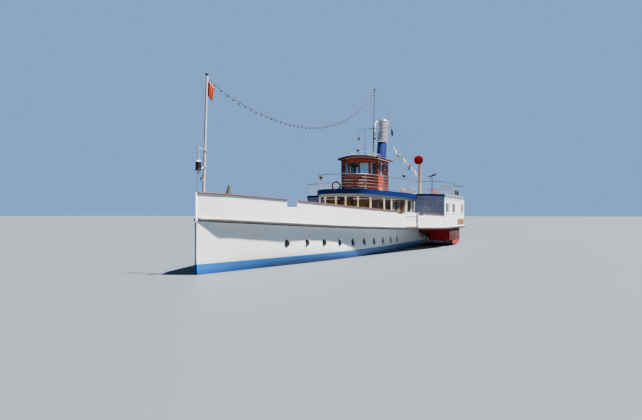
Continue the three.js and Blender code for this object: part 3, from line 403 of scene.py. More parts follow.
lights_route = [Vector((s, 0, z)) for s, z in smooth_route(LIGHTS_ROUTE)]
cable_rubber = worn_finish("cable_rubber", (0.03, 0.03, 0.034), (0.09, 0.09, 0.09), (0.5, 0.75), size=6)
lamp_glass = worn_finish("lamp_glass", (0.02, 0.02, 0.025), (0.05, 0.045, 0.04), (0.3, 0.5), size=8)
bm = bmesh.new()
add_tube(bm, lights_route, LIGHTS_RADIUS)
light_string = fit(bm, "light_string_cable", cable_rubber, "cord_black", "light_string")

lamp_item = turned_item(LAMP, lamp_glass, 10)
string_lamps = set_along("light_string_lamps", [lights_route[3:-1]], LIGHTS_SPACING, lamp_item, lamp_glass)
attach(string_lamps, "lamp_glass")


# Floor and lights
# A plain pale floor at the waterline stands for the lake, under a soft bright sky, with one soft
# sun high on the port side and a little behind the beam.

SUN_FROM = Vector((-0.14, 0.36, 0.92))
FLOOR_SIZE = 600
SKY_SEEN = 0.85
SKY_LIGHT = 0.22


def floor_finish():
    material, tree, shader = new_material("floor_finish", Roughness=0.5)
    spot = spot_of(tree)
    shade = mix(tree, noise(tree, spot, 0.05, 2), (0.075, 0.09, 0.105, 1), (0.09, 0.105, 0.125, 1))
    seen = add_node(tree, "ShaderNodeLightPath").outputs["Is Camera Ray"]
    tree.links.new(mix(tree, seen, (0.03, 0.048, 0.066, 1), shade), shader.inputs["Base Color"])
    return material


half = FLOOR_SIZE / 2
bm.faces.new([
    bm.verts.new((x, y, 0)) for x, y in ((-half, -half), (half, -half), (half, half), (-half, half))])
floor_mesh = bpy.data.meshes.new("floor")
bm.to_mesh(floor_mesh)
bm.clear()
floor_mesh.materials.append(floor_finish())
floor = add_object("floor", floor_mesh)

world = bpy.data.worlds.new("sky")
world.use_nodes = True
bpy.context.scene.world = world
backdrop = world.node_tree.nodes["Background"]
backdrop.inputs["Color"].default_value = (0.27, 0.52, 1.0, 1)
rays = add_node(world.node_tree, "ShaderNodeLightPath").outputs
seen = math_node(world.node_tree, "MAXIMUM", rays["Is Camera Ray"], rays["Is Transmission Ray"])
shine = add_node(world.node_tree, "ShaderNodeMapRange", {0: seen, 3: SKY_LIGHT, 4: SKY_SEEN})
world.node_tree.links.new(shine.outputs[0], backdrop.inputs["Strength"])

sun_data = bpy.data.lights.new("sun", "SUN")
sun_data.energy = 28
sun_data.angle = math.radians(3)
sun_data.color = (1.0, 0.96, 0.9)
sun = add_object("sun", sun_data)
sun.rotation_euler = SUN_FROM.to_track_quat("Z", "Y").to_euler()


# Hull
# Riveted steel plating over frames, painted white, with a blue boot-top from the waterline up.
# Each strake of plates laps the one below, and butt straps cover the joints between plates.

SHEER = [
    (-500, 2150), (0, 2150), (3000, 2000), (6000, 1865), (9000, 1740), (12000, 1630), (15000, 1535),
    (20000, 1413), (23600, 1354), (34000, 1330), (39000, 1370), (44000, 1470), (48000, 1600), (48500, 1600),
]
DECK_THICK = 120
GUARD_HALF = 5350
GUARD_ENDS = (23600, 32300)
DECK_EDGE = [
    (160, 165), (1200, 620), (3000, 1120), (5000, 1620), *[(s, GUARD_HALF) for s in GUARD_ENDS],
    (35500, 4400), (39000, 3950), (43000, 3300), (45500, 2550), (47200, 1450), (48000, 350),
]
BOOT_TOP = 420
HULL_FORM = [
    (0, 30, 32, -1100, 0), (1200, 360, 440, -1200, 0), (3000, 820, 920, -1250, 0.15),
    (5000, 1300, 1350, -1250, 0.3), (7500, 1870, 1810, -1250, 0.5), (10500, 2420, 2270, -1250, 0.7),
    (14000, 2760, 2650, -1250, 0.85), (18000, 2950, 2950, -1250, 1), (32000, 2950, 2950, -1250, 1),
    (37000, 2750, 2850, -1250, 0.8), (41000, 2150, 2600, -1250, 0.4),
]
BODY_END = 41000
STERNPOST_AT = 44900
STERNPOST = [(80, -1200), (80, -700), (90, -60), (900, 450), (2050, 1800)]
COUNTER = [
    (STERNPOST_AT, [(60, 20), (160, 40), (420, 130), (900, 450), (2050, 1800)]),
    (46300, [(60, 430), (260, 480), (700, 640), (1050, 850), (1500, 1850)]),
    (47500, [(40, 1050), (160, 1080), (420, 1150), (560, 1250), (780, 1900)]),
]
PLATE_THICK = 25


def follow(table, s, column=1):
    """A table's value at s, in straight runs between its rows, as the frame's own pieces have it."""
    for a, b in zip(table, table[1:]):
        if s <= b[0]:
            return a[column] + (b[column] - a[column]) * max(s - a[0], 0) / (b[0] - a[0])
    return table[-1][column]


def eased(table, s, column=1):
    """A table's value at s, on a curve that keeps each row's value and doesn't overshoot."""
    last = len(table) - 1
    i = max(k for k in range(last) if s >= table[k][0] or k == 0)
    slopes = []
    for k in (i, i + 1):
        runs = [(table[j + 1][column] - table[j][column]) / (table[j + 1][0] - table[j][0])
                for j in (k - 1, k) if 0 <= j < last]
        if len(runs) == 1:
            slopes.append(runs[0])
        else:
            slopes.append(2 * runs[0] * runs[1] / (runs[0] + runs[1]) if runs[0] * runs[1] > 0 else 0)
    a, b = table[i], table[i + 1]
    width = b[0] - a[0]
    t = (s - a[0]) / width
    return (a[column] * (1 + 2 * t) * (1 - t) ** 2 + b[column] * t * t * (3 - 2 * t)
            + width * (slopes[0] * t * (1 - t) ** 2 + slopes[1] * t * t * (t - 1)))


def deck_bottom(s):
    return follow(SHEER, s)


def deck_top(s):
    return deck_bottom(s) + DECK_THICK


def hull_section(s):
    """The hull's port side at s as pairs of p and z, from the keel up to the deck."""
    boot, deck, keel, full = (eased(HULL_FORM, s, column) for column in (1, 2, 3, 4))
    return [
        (60 + 0.5 * full * boot, keel), (60 + boot * (0.24 + 0.66 * full), keel + 200),
        (60 + boot * (0.62 + 0.35 * full), -350), (boot, BOOT_TOP), (deck, deck_bottom(s) + 300),
    ]


def hull_stations():
    """Stations along the body, drawn in from its end to the sternpost."""
    body = [(s, hull_section(s)) for s in range(0, BODY_END, 500)]
    last = hull_section(BODY_END)
    for s in (BODY_END, 42000, 43000, 44000, 44600):
        share = (s - BODY_END) / (STERNPOST_AT - BODY_END)
        body.append((s, [
            (a[0] + (b[0] - a[0]) * share, a[1] + (b[1] - a[1]) * share) for a, b in zip(last, STERNPOST)]))
    return [*body, (STERNPOST_AT, STERNPOST)]


def rounded_section(s, section, steps=5):
    """A section rounded between its corners and cut off under the deck."""
    curve = smooth_route([(p, z) for p, z in section], steps)
    top = deck_bottom(s) - 1
    kept = [spot for spot in curve if spot.y < top]
    over = next((spot for spot in curve if spot.y >= top), curve[-1])
    share = (top - kept[-1].y) / (over.y - kept[-1].y) if over.y > kept[-1].y else 0
    kept.append(kept[-1].lerp(over, share))
    return [kept[min(k, len(kept) - 1)] for k in range(len(curve))]


def resampled(spots, count):
    """The same line with evenly spaced points."""
    lengths = [0.0]
    for a, b in zip(spots, spots[1:]):
        lengths.append(lengths[-1] + (b - a).length)
    even = []
    for k in range(count):
        want = lengths[-1] * k / (count - 1)
        i = max(j for j in range(len(spots) - 1) if lengths[j] <= want + 1e-6)
        run = lengths[i + 1] - lengths[i]
        even.append(spots[i].lerp(spots[i + 1], (want - lengths[i]) / run if run else 0))
    return even


def add_shell(bm, sections, columns=22):
    """The skin of both sides through the sections, closed at the last one."""
    rows = []
    for s, section in sections:
        line = resampled(rounded_section(s, section), columns)
        port = [(s, spot.x, spot.y) for spot in line]
        keel = [(s, 0, line[0].y)]
        rows.append([*[(s, -p, z) for s, p, z in reversed(port)], *keel, *port])
    verts = [[bm.verts.new(point) for point in row] for row in rows]
    for a, b in zip(verts, verts[1:]):
        for k in range(len(a) - 1):
            bm.faces.new((a[k], a[k + 1], b[k + 1], b[k]))
    bm.faces.new(verts[-1])


def thicken(piece, thick, offset):
    """Plate or cloth of single faces given its thickness, to the side that offset says."""
    skin = piece.modifiers.new("thickness", "SOLIDIFY")
    skin.thickness = thick * TO_METRES
    skin.offset = offset


def hull_paint():
    """White above the boot-top and blue below it, with streaks, a blue that darkens towards the waterline
    and a scum line.
    """
    material, tree, shader = new_material("hull_paint", Coat_Weight=0.1, Coat_Roughness=0.2)
    marks = weather(tree, 1.0, 0.32, 0.3)
    spot = spot_of(tree)
    height = add_node(tree, "ShaderNodeSeparateXYZ", {0: spot}).outputs["Z"]
    white = mix(tree, marks["Soiled"], (0.77, 0.79, 0.8, 1), (0.62, 0.62, 0.58, 1))
    lower = mix(tree, map_range(tree, height, 0.3, 0.19, 0, 0.4), white, (0.55, 0.58, 0.52, 1))
    blue = mix(tree, marks["Soiled"], (0.0, 0.09, 0.36, 1), (0.002, 0.13, 0.42, 1))
    # The blue darkens towards the waterline.
    blue_darker_below = mix(tree, map_range(tree, height, 0.13, 0.0, 0, 0.7), blue, (0.0, 0.022, 0.15, 1))
    line = BOOT_TOP * TO_METRES
    colour = mix(tree, map_range(tree, height, line - 0.002, line + 0.002), blue_darker_below, lower)
    plates = math_node(tree, "MULTIPLY_ADD", noise(tree, spot, 1.7, 2), 4.0, marks["Height"])
    set_looks(shader, colour, marks["Dull"], (0.1, 0.45), (0.28, 0.5), plates, 0.3, 0.004)
    return material


hull_white = hull_paint()
add_shell(bm, hull_stations())
add_shell(bm, COUNTER)
bmesh.ops.remove_doubles(bm, verts=bm.verts, dist=1.0)
hull = make_mesh(bm, "hull_plating", hull_white)
thicken(hull, PLATE_THICK, -1)


# Stem bar, laps and marks
# A bar of rounded steel closes the bow plates. A half-round moulding runs along the plates' upper
# lap, welded straps cover two butts on each bow, and short dashes by the stem give the draught.

STEM = [(150, 50), (60, 38), (22, 26), (0, 9), (0, -9), (22, -26), (60, -38), (150, -50)]
MOULDING_DROP = 830
MOULDING_GAP = 274
PORTHOLE_FIRST = 5400
PORTHOLE_PITCH = 1550
PORTHOLE_COUNT = 10
STRAPS_AT = [3050, 6750]
TICK_HEIGHTS = [60, 150, 240, 330]


def stops(first, last, *tables):
    """Distances aft of the stem at which a piece needs a row, for the tables that it follows."""
    count = max(1, round((last - first) / 800))
    rows = {row[0] for table in (DECK_EDGE, *tables) for row in table if first < row[0] < last}
    return sorted(rows | {first + (last - first) * k / count for k in range(count)} | {last})


def section_at(s):
    return hull_section(min(s, BODY_END))


def hull_half(s, z):
    """How far the hull's side is from the centreline."""
    line = rounded_section(s, section_at(s))
    for a, b in zip(line, line[1:]):
        if a.y <= z <= b.y and b.y > a.y:
            return a.x + (b.x - a.x) * (z - a.y) / (b.y - a.y)
    return line[-1].x


def hull_facing(s, z):
    """The way that the hull's port side faces."""
    aft = Vector((200, hull_half(s + 100, z) - hull_half(s - 100, z), 0))
    up = Vector((0, hull_half(s, z + 60) - hull_half(s, z - 60), 120))
    way = aft.cross(up)
    return (way if way.y > 0 else -way).normalized()


def other_side(spots):
    """The same places and facings again on the starboard side."""
    return [*spots, *[((s, -p, z), (a, -b, c)) for (s, p, z), (a, b, c) in spots]]


def add_patch(bm, spots, wide, thick):
    """Flat strip laid on the hull's port side along spots of s and z."""
    rings = []
    for s, z in spots:
        way = hull_facing(s, z)
        foot = Vector((s, hull_half(s, z), z)) - way * 4
        across = Vector((0, 0, 1)) if spots[0][1] == spots[-1][1] else Vector((1, 0, 0))
        across = (across - way * across.dot(way)).normalized() * wide / 2
        rings.append([
            foot - across, foot + across, foot + across + way * thick, foot - across + way * thick])
    add_skin(bm, rings)


rings = [[(s, p, z) for s, p in STEM] for z in (-1100, 3250)]
rings.append([(20 + s * 0.8, p * 0.75, 3262) for s, p in STEM])
add_skin(bm, rings)
fit(bm, "stem_bar", hull_white, "hull_white", sharp=50)

breaks = [PORTHOLE_FIRST + PORTHOLE_PITCH * k for k in range(PORTHOLE_COUNT)]
starts = [160, *[s + MOULDING_GAP for s in breaks]]
for first, last in zip(starts, [*[s - MOULDING_GAP for s in breaks], 23000]):
    line = [(s, deck_bottom(s) - MOULDING_DROP) for s in stops(first, last)]
    add_tube(bm, [(s, hull_half(s, z), z) for s, z in line], 26, 10)
for s in STRAPS_AT:
    rise = [deck_bottom(s) - 10 - (deck_bottom(s) - 440) * k / 8 for k in range(9)]
    add_patch(bm, [(s + (rise[0] - z) * 0.04, z) for z in rise], 90, 24)
fit(bm, "hull_moulding_and_straps", hull_white, "hull_white", both=True)

mark_white = worn_finish("mark_white", (0.75, 0.77, 0.8), (0.4, 0.5, 0.62), size=5)
mark_red = worn_finish("mark_red", (0.5, 0.09, 0.07), (0.6, 0.3, 0.27), size=5)
for z in TICK_HEIGHTS:
    add_patch(bm, [(330, z), (480, z)], 34, 8)
fit(bm, "draught_ticks", mark_white, "hull_white", both=True)
add_patch(bm, [(3700, 640), (4250, 640), (4800, 640)], 60, 8)
add_patch(bm, [(4150, 520), (4450, 520)], 60, 8)
fit(bm, "bow_thruster_mark", mark_red, "red_paint", both=True)


# Portholes
# Ten cast rims a side are bolted through the plating at one height below the guard. Each holds a
# thick round glass, set a little back. The glass is opaque and near-black: painted shade for the dark
# inside of the hull.

PORTHOLE_RIM = [(232, -90), (232, -8), (266, -8), (266, 10), (252, 26), (234, 32), (222, 26), (216, -90)]
PORTHOLE_GLASS = [(220, -46), (220, -36), (130, -30), (0, -28)]
PORTHOLE_CUT = [(226, -120), (226, 120)]
PORTHOLE_PAINTED_SHADE = (0.02, 0.03, 0.032)


def glass_finish(name, colour, clear, rough=(0.02, 0.12)):
    """Glass with a little dirt on it. It lets through as much as clear says; a dark colour where it lets
    little through is painted shade.
    """
    material, tree, shader = new_material(name, Transmission_Weight=clear, IOR=1.45, Specular_IOR_Level=0.3)
    marks = weather(tree, 3.0, 0.3, 0.4)
    tint = mix(tree, marks["Soiled"], (*colour, 1), (*[c * 0.8 + 0.012 for c in colour], 1))
    set_looks(shader, tint, marks["Dull"], (0.1, 0.5), rough)
    return material


# Opaque near-black glass: painted shade for the dark inside of the hull.
porthole_glass = glass_finish("porthole_glass", PORTHOLE_PAINTED_SHADE, 0)
spots = []
for s in breaks:
    z = deck_bottom(s) - 870 + 0.012 * (s - PORTHOLE_FIRST)
    spots.append(((s, hull_half(s, z), z), hull_facing(s, z)))
for name, profile, finish, slot in (
    ("porthole_rims", [*PORTHOLE_RIM, PORTHOLE_RIM[0]], hull_white, "hull_white"),
    ("porthole_glasses", PORTHOLE_GLASS, porthole_glass, "window_glass"),
):
    add_upright(bm, (0, 0, 0), profile, 28)
    if name == "porthole_rims":
        bmesh.ops.delete(bm, geom=[face for face in bm.faces if len(face.verts) > 4], context="FACES_ONLY")
        bmesh.ops.remove_doubles(bm, verts=bm.verts, dist=0.1)
    item = make_mesh(bm, "porthole_item", finish, in_ship=False)
    attach(set_at(name, other_side(spots), item, finish), slot)

item = turned_item(PORTHOLE_CUT, hull_white, 28)
cutters = set_at("porthole_cutters", other_side(spots), item, hull_white)
holes = hull.modifiers.new("portholes", "BOOLEAN")
holes.object = cutters
cut_mesh = bpy.data.meshes.new_from_object(hull.evaluated_get(bpy.context.evaluated_depsgraph_get()))
hull.modifiers.clear()
hull.data = cut_mesh
cut_mesh.set_sharp_from_angle(angle=math.radians(35))
bpy.data.objects.remove(cutters)
attach(hull, "hull_white", "hull", "hull_bow")


# Main deck and guard
# Teak planks are laid and caulked over the steel deck, inside a wider covering board. The deck
# reaches out past the hull as the guard, and a dark hardwood fender is bolted along its edge.

PLANK_THICK = 14
PLANK_RUNS = [
    (260, 6940, 0, 0), (6940, 8160, 560, 0), (8160, 26080, 0, 0), (26080, 29820, 0, 3000),
    (29820, 47900, 0, 0),
]
FENDER = [(-6, -40), (34, -34), (46, -14), (46, 84), (34, 102), (-6, 106)]
BOW_START = (44, 52)
FENDER_START = (20, 64)


def planks_group():
    """Long boards side by side along X: each board's own tone, its grain and the seams between them."""
    tree, given, out = shader_group(
        "Planks", {"Vector": (0, 0, 0), "Width": 0.06, "Length": 3.0, "Seam": 0.05},
        ["Tone", "Grain", "Seams"])
    spot = add_node(tree, "ShaderNodeSeparateXYZ", {0: given["Vector"]}).outputs
    across = math_node(tree, "DIVIDE", spot["Y"], given["Width"])
    row = math_node(tree, "FLOOR", across)
    shift = add_node(tree, "ShaderNodeTexWhiteNoise", {"W": row}, noise_dimensions="1D").outputs["Value"]
    along = math_node(tree, "ADD", math_node(tree, "DIVIDE", spot["X"], given["Length"]), shift)
    board = add_node(tree, "ShaderNodeCombineXYZ",
                     {"X": row, "Y": math_node(tree, "FLOOR", along)}).outputs[0]
    tone = add_node(tree, "ShaderNodeTexWhiteNoise", {"Vector": board}).outputs["Value"]
    drawn = add_node(tree, "ShaderNodeMapping",
                     {"Vector": given["Vector"], "Scale": (1.5, 30, 30)}).outputs[0]
    moved = add_node(tree, "ShaderNodeVectorMath", {0: drawn, 1: board}, operation="ADD").outputs[0]
    near = math_node(tree, "ABSOLUTE", math_node(tree, "SUBTRACT", math_node(tree, "FRACT", across), 0.5))
    seams = math_node(tree, "GREATER_THAN", near, math_node(tree, "SUBTRACT", 0.5, given["Seam"]))
    for label, value in (("Tone", tone), ("Grain", noise(tree, moved, 3, 5)), ("Seams", seams)):
        tree.links.new(value, out[label])
    return tree


planks = planks_group()


def plank_finish(name, light, dark, seam, width, length=3.0, gap=0.05, rough=(0.5, 0.8), **sockets):
    """Wood in boards that run along the ship."""
    material, tree, shader = new_material(name, **sockets)
    spot = spot_of(tree)
    wood = place_group(tree, planks, {"Vector": spot, "Width": width, "Length": length, "Seam": gap})
    marks = weather(tree, 1.5, 0.2, 0.5)
    share = math_node(tree, "MULTIPLY_ADD", wood["Tone"], 0.35, 0.1)
    share = math_node(tree, "MULTIPLY_ADD", marks["Soiled"], 0.3, share)
    share = math_node(tree, "MULTIPLY_ADD", wood["Grain"], 0.4, share)
    colour = mix(tree, math_node(tree, "MINIMUM", share, 1.0), (*light, 1), (*dark, 1))
    colour = mix(tree, wood["Seams"], colour, (*seam, 1))
    height = math_node(tree, "SUBTRACT", math_node(tree, "MULTIPLY", wood["Grain"], 0.3), wood["Seams"])
    set_looks(shader, colour, wood["Grain"], (0.3, 0.7), rough, height, 0.5, 0.002)
    return material


def mitres(path):
    """Each point of a path with the way square out from it, longer where two runs meet."""
    path = [Vector(spot) for spot in path]
    ways = [(b - a).normalized() for a, b in zip(path, path[1:])]
    for a, spot, b in zip([ways[0], *ways], path, [*ways, ways[-1]]):
        yield spot, Vector((-a.y - b.y, a.x + b.x)) / (1 + a.dot(b))


def add_strip(bm, path, section, base=lambda s, p: 0):
    """Long shape along a path, from pairs of a distance outwards and a height over base(s, p)."""
    rings = []
    for spot, out in mitres(path):
        pairs = section(*spot) if callable(section) else section
        rings.append([
            (spot.x + out.x * reach, spot.y + out.y * reach, base(*spot) + z) for reach, z in pairs])
    add_skin(bm, rings)


def add_lay(bm, rows, near, far, base, low, high):
    """Flat layer between two distances from the centreline and two heights over base(s)."""
    add_skin(bm, [[
        (s, side(s), base(s) + rise) for side, rise in ((near, low), (far, low), (far, high), (near, high))
    ] for s in rows])


def deck_edge(s):
    return follow(DECK_EDGE, s)


def on_deck(s, p):
    return deck_top(s)


def edge_path(first, last, *tables):
    return [(s, deck_edge(s)) for s in stops(first, last, SHEER, *tables)]


def bow_and_stern(path, start=BOW_START):
    """A path on the port side, carried on to the stem bar, or to the centreline at the stern."""
    end = [(48000, 0)] if path[-1][0] == 48000 else []
    return [start, *path[1:], *end] if path[0][0] == 160 else [*path, *end]


def set_finish(finish, *names):
    for name in names:
        nodes[name].data.materials.clear()
        nodes[name].data.materials.append(finish)


teak_deck = plank_finish("teak_deck", (0.42, 0.3, 0.19), (0.24, 0.16, 0.1), (0.02, 0.018, 0.016), 0.062)
for first, last, near, far in PLANK_RUNS:
    add_lay(bm, stops(first, last, SHEER), lambda s: near, lambda s: far or deck_edge(s) - 290,
            deck_top, -4, PLANK_THICK)
fit(bm, "main_deck_planks", teak_deck, "deck_teak", both=True)

covering_wood = plank_finish(
    "covering_wood", (0.3, 0.17, 0.09), (0.17, 0.09, 0.05), (0.02, 0.018, 0.016), 0.5)
for first, last in ((260, 25000), (31000, 47900)):
    add_lay(bm, stops(first, last, SHEER), lambda s: deck_edge(s) - 292, lambda s: deck_edge(s) - 60,
            deck_top, -4, PLANK_THICK + 6)
fit(bm, "covering_board", covering_wood, "deck_teak", both=True)

fender_wood = worn_finish("fender_wood", (0.022, 0.018, 0.018), (0.09, 0.075, 0.065), (0.5, 0.8), size=4)


def fender_section(s, p):
    """The half-round, fined down where it meets the stem."""
    share = min(1, 0.6 + s / 1500)
    return [(reach * share, deck_bottom(s) + 33 + (rise - 33) * share) for reach, rise in FENDER]


add_strip(bm, bow_and_stern(edge_path(160, 48000), FENDER_START), fender_section)
fit(bm, "guard_fender", fender_wood, "rail_paint", both=True)

house_white = worn_finish("house_white", (0.8, 0.81, 0.82), (0.62, 0.62, 0.58), (0.32, 0.55), streaks=0.3)
set_finish(house_white, "main_deck_fore", "main_deck_waist", "main_deck_sponson", "main_deck_aft")


# Bulwarks
# Steel plates stand on the deck's edge, stiffened inside by bracket stanchions, and are cut down in
# notches for mooring lines. A rounded teak cap is screwed along the top, and a bead edges each plate.

CAP_HEIGHT = [
    (-500, 3300), (0, 3300), (6000, 3055), (12000, 2790), (15000, 2665), (20000, 2483), (23600, 2374),
    (34000, 2350), (39000, 2400), (44000, 2510), (48000, 2650), (48500, 2650),
]
NOTCHES = [(5050, 5900, 400), (16200, 17200, 250), (19350, 20200, 250), (42200, 43000, 300)]
BULWARK_RUNS = [
    (160, 17350, ["bulwark_fore_port", "bulwark_fore_starboard"]),
    (19250, 23598, ["bulwark_mid_port", "bulwark_mid_starboard"]),
    (32302, 48000, ["bulwark_aft"]),
]
CAP = [
    (-130, 8), (-122, 0), (7, 0), (15, 10), (15, 46), (5, 58), (-12, 60), (-106, 60), (-122, 56), (-130, 44)]
NOTCH_BEAD_INSET = 60
STANCHION_RUNS = [(700, 4900), (6200, 15200), (20500, 23400), (32800, 41900), (43200, 46800)]
STANCHION = [(0, 0), (240, 0), (236, 60), (60, 560), (46, 820), (0, 820)]


def cap_top(s):
    return follow(CAP_HEIGHT, s)


def bulwark_runs(first, last):
    """Stretches of a bulwark, each with the height that its plate is cut down to, if any."""
    runs = []
    for start, end, depth in NOTCHES:
        if first < start < last:
            runs += [(first, start, None), (start, end, cap_top((start + end) / 2) - depth)]
            first = end
    return [*runs, (first, last, None)]


cap_wood = plank_finish("cap_wood", (0.15, 0.06, 0.035), (0.07, 0.03, 0.02), (0.03, 0.015, 0.01), 5.0,
                        length=2.5, gap=0.0, rough=(0.25, 0.5), Coat_Weight=0.4)
for first, last, replaced in BULWARK_RUNS:
    label = replaced[0].split("_")[1]
    plate_bm = bmesh.new()
    cap_bm = bmesh.new()
    for start, end, cut in bulwark_runs(first, last):
        path = bow_and_stern(edge_path(start, end, CAP_HEIGHT))

        def plate(s, p):
            top = cut or cap_top(s) - 58
            return [(-20, deck_top(s) - 6), (-20, top), (-36, top), (-36, deck_top(s) - 6)]

        add_strip(plate_bm, path, plate)
        if cut is None:
            add_strip(cap_bm, path, CAP, lambda s, p: cap_top(s) - 60)
            add_strip(plate_bm, path, [(-36, 4), (-14, 4), (-14, 44), (-36, 44)], on_deck)
        else:
            rim = [(start, cap_top(start) - 30), (start, cut), (end, cut), (end, cap_top(end) - 30)]
            for ends in zip(rim, rim[1:]):
                add_tube(plate_bm, [(s, deck_edge(s) - NOTCH_BEAD_INSET, z) for s, z in ends], 40)
    if first == 160:
        add_skin(cap_bm, [[
            (s, p, cap_top(s) + rise) for p, rise in ((0, -4), (reach, -4), (reach, -54), (0, -54))
        ] for s, reach in ((150, 60), (760, 320))])
    fit(plate_bm, "bulwark_plating_" + label, house_white, "hull_white", *replaced, both=True)
    fit(cap_bm, "bulwark_cap_" + label, cap_wood, "cap_wood", both=True, sharp=40)

add_skin(bm, [[(side, reach, height) for reach, height in STANCHION] for side in (-6, 6)])
item = make_mesh(bm, "stanchion_item", house_white, in_ship=False)
inner = [[(s, deck_edge(s) - 38, deck_top(s) - 2) for s in stops(*run, SHEER)] for run in STANCHION_RUNS]
inner += [[(s, -p, z) for s, p, z in reversed(route)] for route in inner]
attach(set_along("bulwark_stanchions", inner, 1200, item, house_white), "hull_white")


# Gangway gates
# Steel gates in the bulwark slide forward on two feet. Each is stiffened by upright ribs on its
# face, and a worn bright sill lies across the gateway under it.

GATE = (17350, 19250)
GATE_INSET = 165
GATE_RIBS = [17420, 17900, 18300, 18700, 19180]

bright_steel = worn_finish("bright_steel", (0.62, 0.63, 0.64), (0.3, 0.28, 0.25), (0.25, 0.5), size=6,
                           Metallic=1.0)


def fit_pair(name, finish, slot, body, build):
    """A piece made for the port side's body, and mirrored for the starboard side's."""
    for side in ("port", "starboard"):
        bm = bmesh.new()
        build(bm)
        if side == "starboard":
            bmesh.ops.scale(bm, vec=(1, -1, 1), verts=bm.verts)
        fit(bm, name + "_" + side, finish, slot, on=body + "_" + side)


def add_gate_ribs(bm):
    """Two level rails and the upright ribs on the port gate."""
    face = 6 - GATE_INSET
    for low, high in ((40, 80), (700, 740)):
        path = [(s, deck_edge(s)) for s in stops(GATE[0] + 60, GATE[1] - 60)]
        add_strip(bm, path, [
            (face - 12, low), (face + 14, low + 6), (face + 14, high - 6), (face - 12, high)], on_deck)
    for s in GATE_RIBS:
        p = deck_edge(s) + face
        add_tube(bm, [(s, p, deck_top(s) + 30), (s, p, cap_top(s) - 70)], 16, 6)


set_finish(house_white, "gangway_gate_port", "gangway_gate_starboard")
fit_pair("gate_ribs", house_white, "hull_white", "gangway_gate", add_gate_ribs)

path = [(s, deck_edge(s)) for s in stops(GATE[0] + 20, GATE[1] - 20)]
add_strip(bm, path, [(-120, 15), (20, 15), (20, 36), (-120, 40)], on_deck)
fit(bm, "gateway_sills", bright_steel, "bright_steel", both=True)
for s in (GATE[0] - 6, GATE[1] + 6):
    add_tube(bm, [(s, deck_edge(s) - 46, z) for z in (deck_top(s), cap_top(s) - 10)], 32, 10)
fit(bm, "gateway_posts", house_white, "hull_white", both=True)


# Paddle houses
# Panelled steel houses on the guards, flush with the bulwark, white with painted shade in blue-grey
# on their forward walls. Their windows are framed and glazed, and a slatted teak screen lets the
# spray out of each paddle box.

HOUSE_FACE = 5330
HOUSE_WINDOWS = [(24150, 25250), (26750, 27850), (30750, 31700)]
HOUSE_WINDOW_Z = (2520, 3220)
HOUSE_SILL_Z = (2452, 2476)
HOUSE_DOOR = (3950, 4650)
HOUSE_BEADS_Z = (2440, 3360)
HOUSE_RIBS = (23640, 25980, 29900, 32240)
HOUSE_PANELS = [(a, z) for a in ((3080, 3860), (4740, 5270)) for z in ((1560, 2380), (2480, 3380))]
HAND_GRIPS = (4690, 5030)
LOUVRE = ((29060, 32000), (1600, 2020))
FRAME = [(-16, -46), (-16, 6), (-6, 14), (36, 14), (44, 4), (44, -4)]
PANE_BACK = -40
PANEL_BEAD = [(-30, -2), (-24, 12), (0, 12), (6, -2)]
FRAME_THIN = [(-14, -30), (-14, 4), (-6, 10), (26, 10), (32, -2), (32, -6)]


def finish_with_painted_front_shade(name, clean, front):
    """White paint, with painted shade in blue-grey on the walls that face forward, away from the sun."""
    material = worn_finish(name, clean, [c * 0.78 for c in clean], (0.32, 0.55), streaks=0.3)
    tree = material.node_tree
    shader = tree.nodes["Principled BSDF"]
    white = shader.inputs["Base Color"].links[0].from_socket
    facing = add_node(tree, "ShaderNodeNewGeometry").outputs["True Normal"]
    ahead = add_node(tree, "ShaderNodeSeparateXYZ", {0: facing}).outputs["X"]
    # Walls that face forward take the front colour: painted shade.
    colour = mix(tree, map_range(tree, ahead, 0.5, 0.9), white, (*front, 1))
    tree.links.new(colour, shader.inputs["Base Color"])
    return material


def side_wall(face, side=1):
    return lambda a, z, out: (a, side * (face + out), z)


def front_wall(face, towards=-1):
    return lambda a, z, out: (face + towards * out, a, z)


def add_frame(bm, wall, a, z, section):
    """Mitred frame round an opening, from pairs of a distance out from its edge and out from the wall."""
    corners = ((a[0], -1, z[0], -1), (a[1], 1, z[0], -1), (a[1], 1, z[1], 1), (a[0], -1, z[1], 1))
    add_skin(bm, [[
        wall(at + sign * wide, height + up * wide, out) for wide, out in section
    ] for at, sign, height, up in corners], looped=True)


def add_plate(bm, wall, a, z, low, high, eased_by=6):
    """Flat panel on a wall between two distances out from it, its front edge eased."""
    rings = []
    for out, less in ((low, 0), (high - eased_by * 0.6, 0), (high, eased_by)):
        rings.append([wall(at, height, out) for at, height in (
            (a[0] + less, z[0] + less), (a[1] - less, z[0] + less),
            (a[1] - less, z[1] - less), (a[0] + less, z[1] - less))])
    add_skin(bm, rings)


def add_window(frame_bm, pane_bm, wall, a, z, back=PANE_BACK):
    """A framed opening with its pane set back in it."""
    add_frame(frame_bm, wall, a, z, FRAME)
    add_plate(pane_bm, wall, (a[0] - 8, a[1] + 8), (z[0] - 8, z[1] + 8), back - 6, back, 1)


def add_wide_window(frame_bm, pane_bm, wall, a, z, gap, post, proud):
    """Two windows, each a gap away from the middle, and a post between them that stands proud."""
    middle = (a[0] + a[1]) / 2
    for half in ((a[0], middle - gap), (middle + gap, a[1])):
        add_window(frame_bm, pane_bm, wall, half, z)
    add_plate(frame_bm, wall, (middle - post, middle + post), z, -70, proud)


def doorway(floor):
    """The heights of a doorway's sill and head over a floor."""
    return floor + 60, floor + 1910


window_glass = glass_finish("window_glass", (0.62, 0.7, 0.68), 1.0, (0.0, 0.08))
# Opaque near-black panes for the paddle houses: painted shade for the dark rooms behind them.
shade_painted_glass = glass_finish("shade_painted_glass", (0.008, 0.01, 0.018), 0)
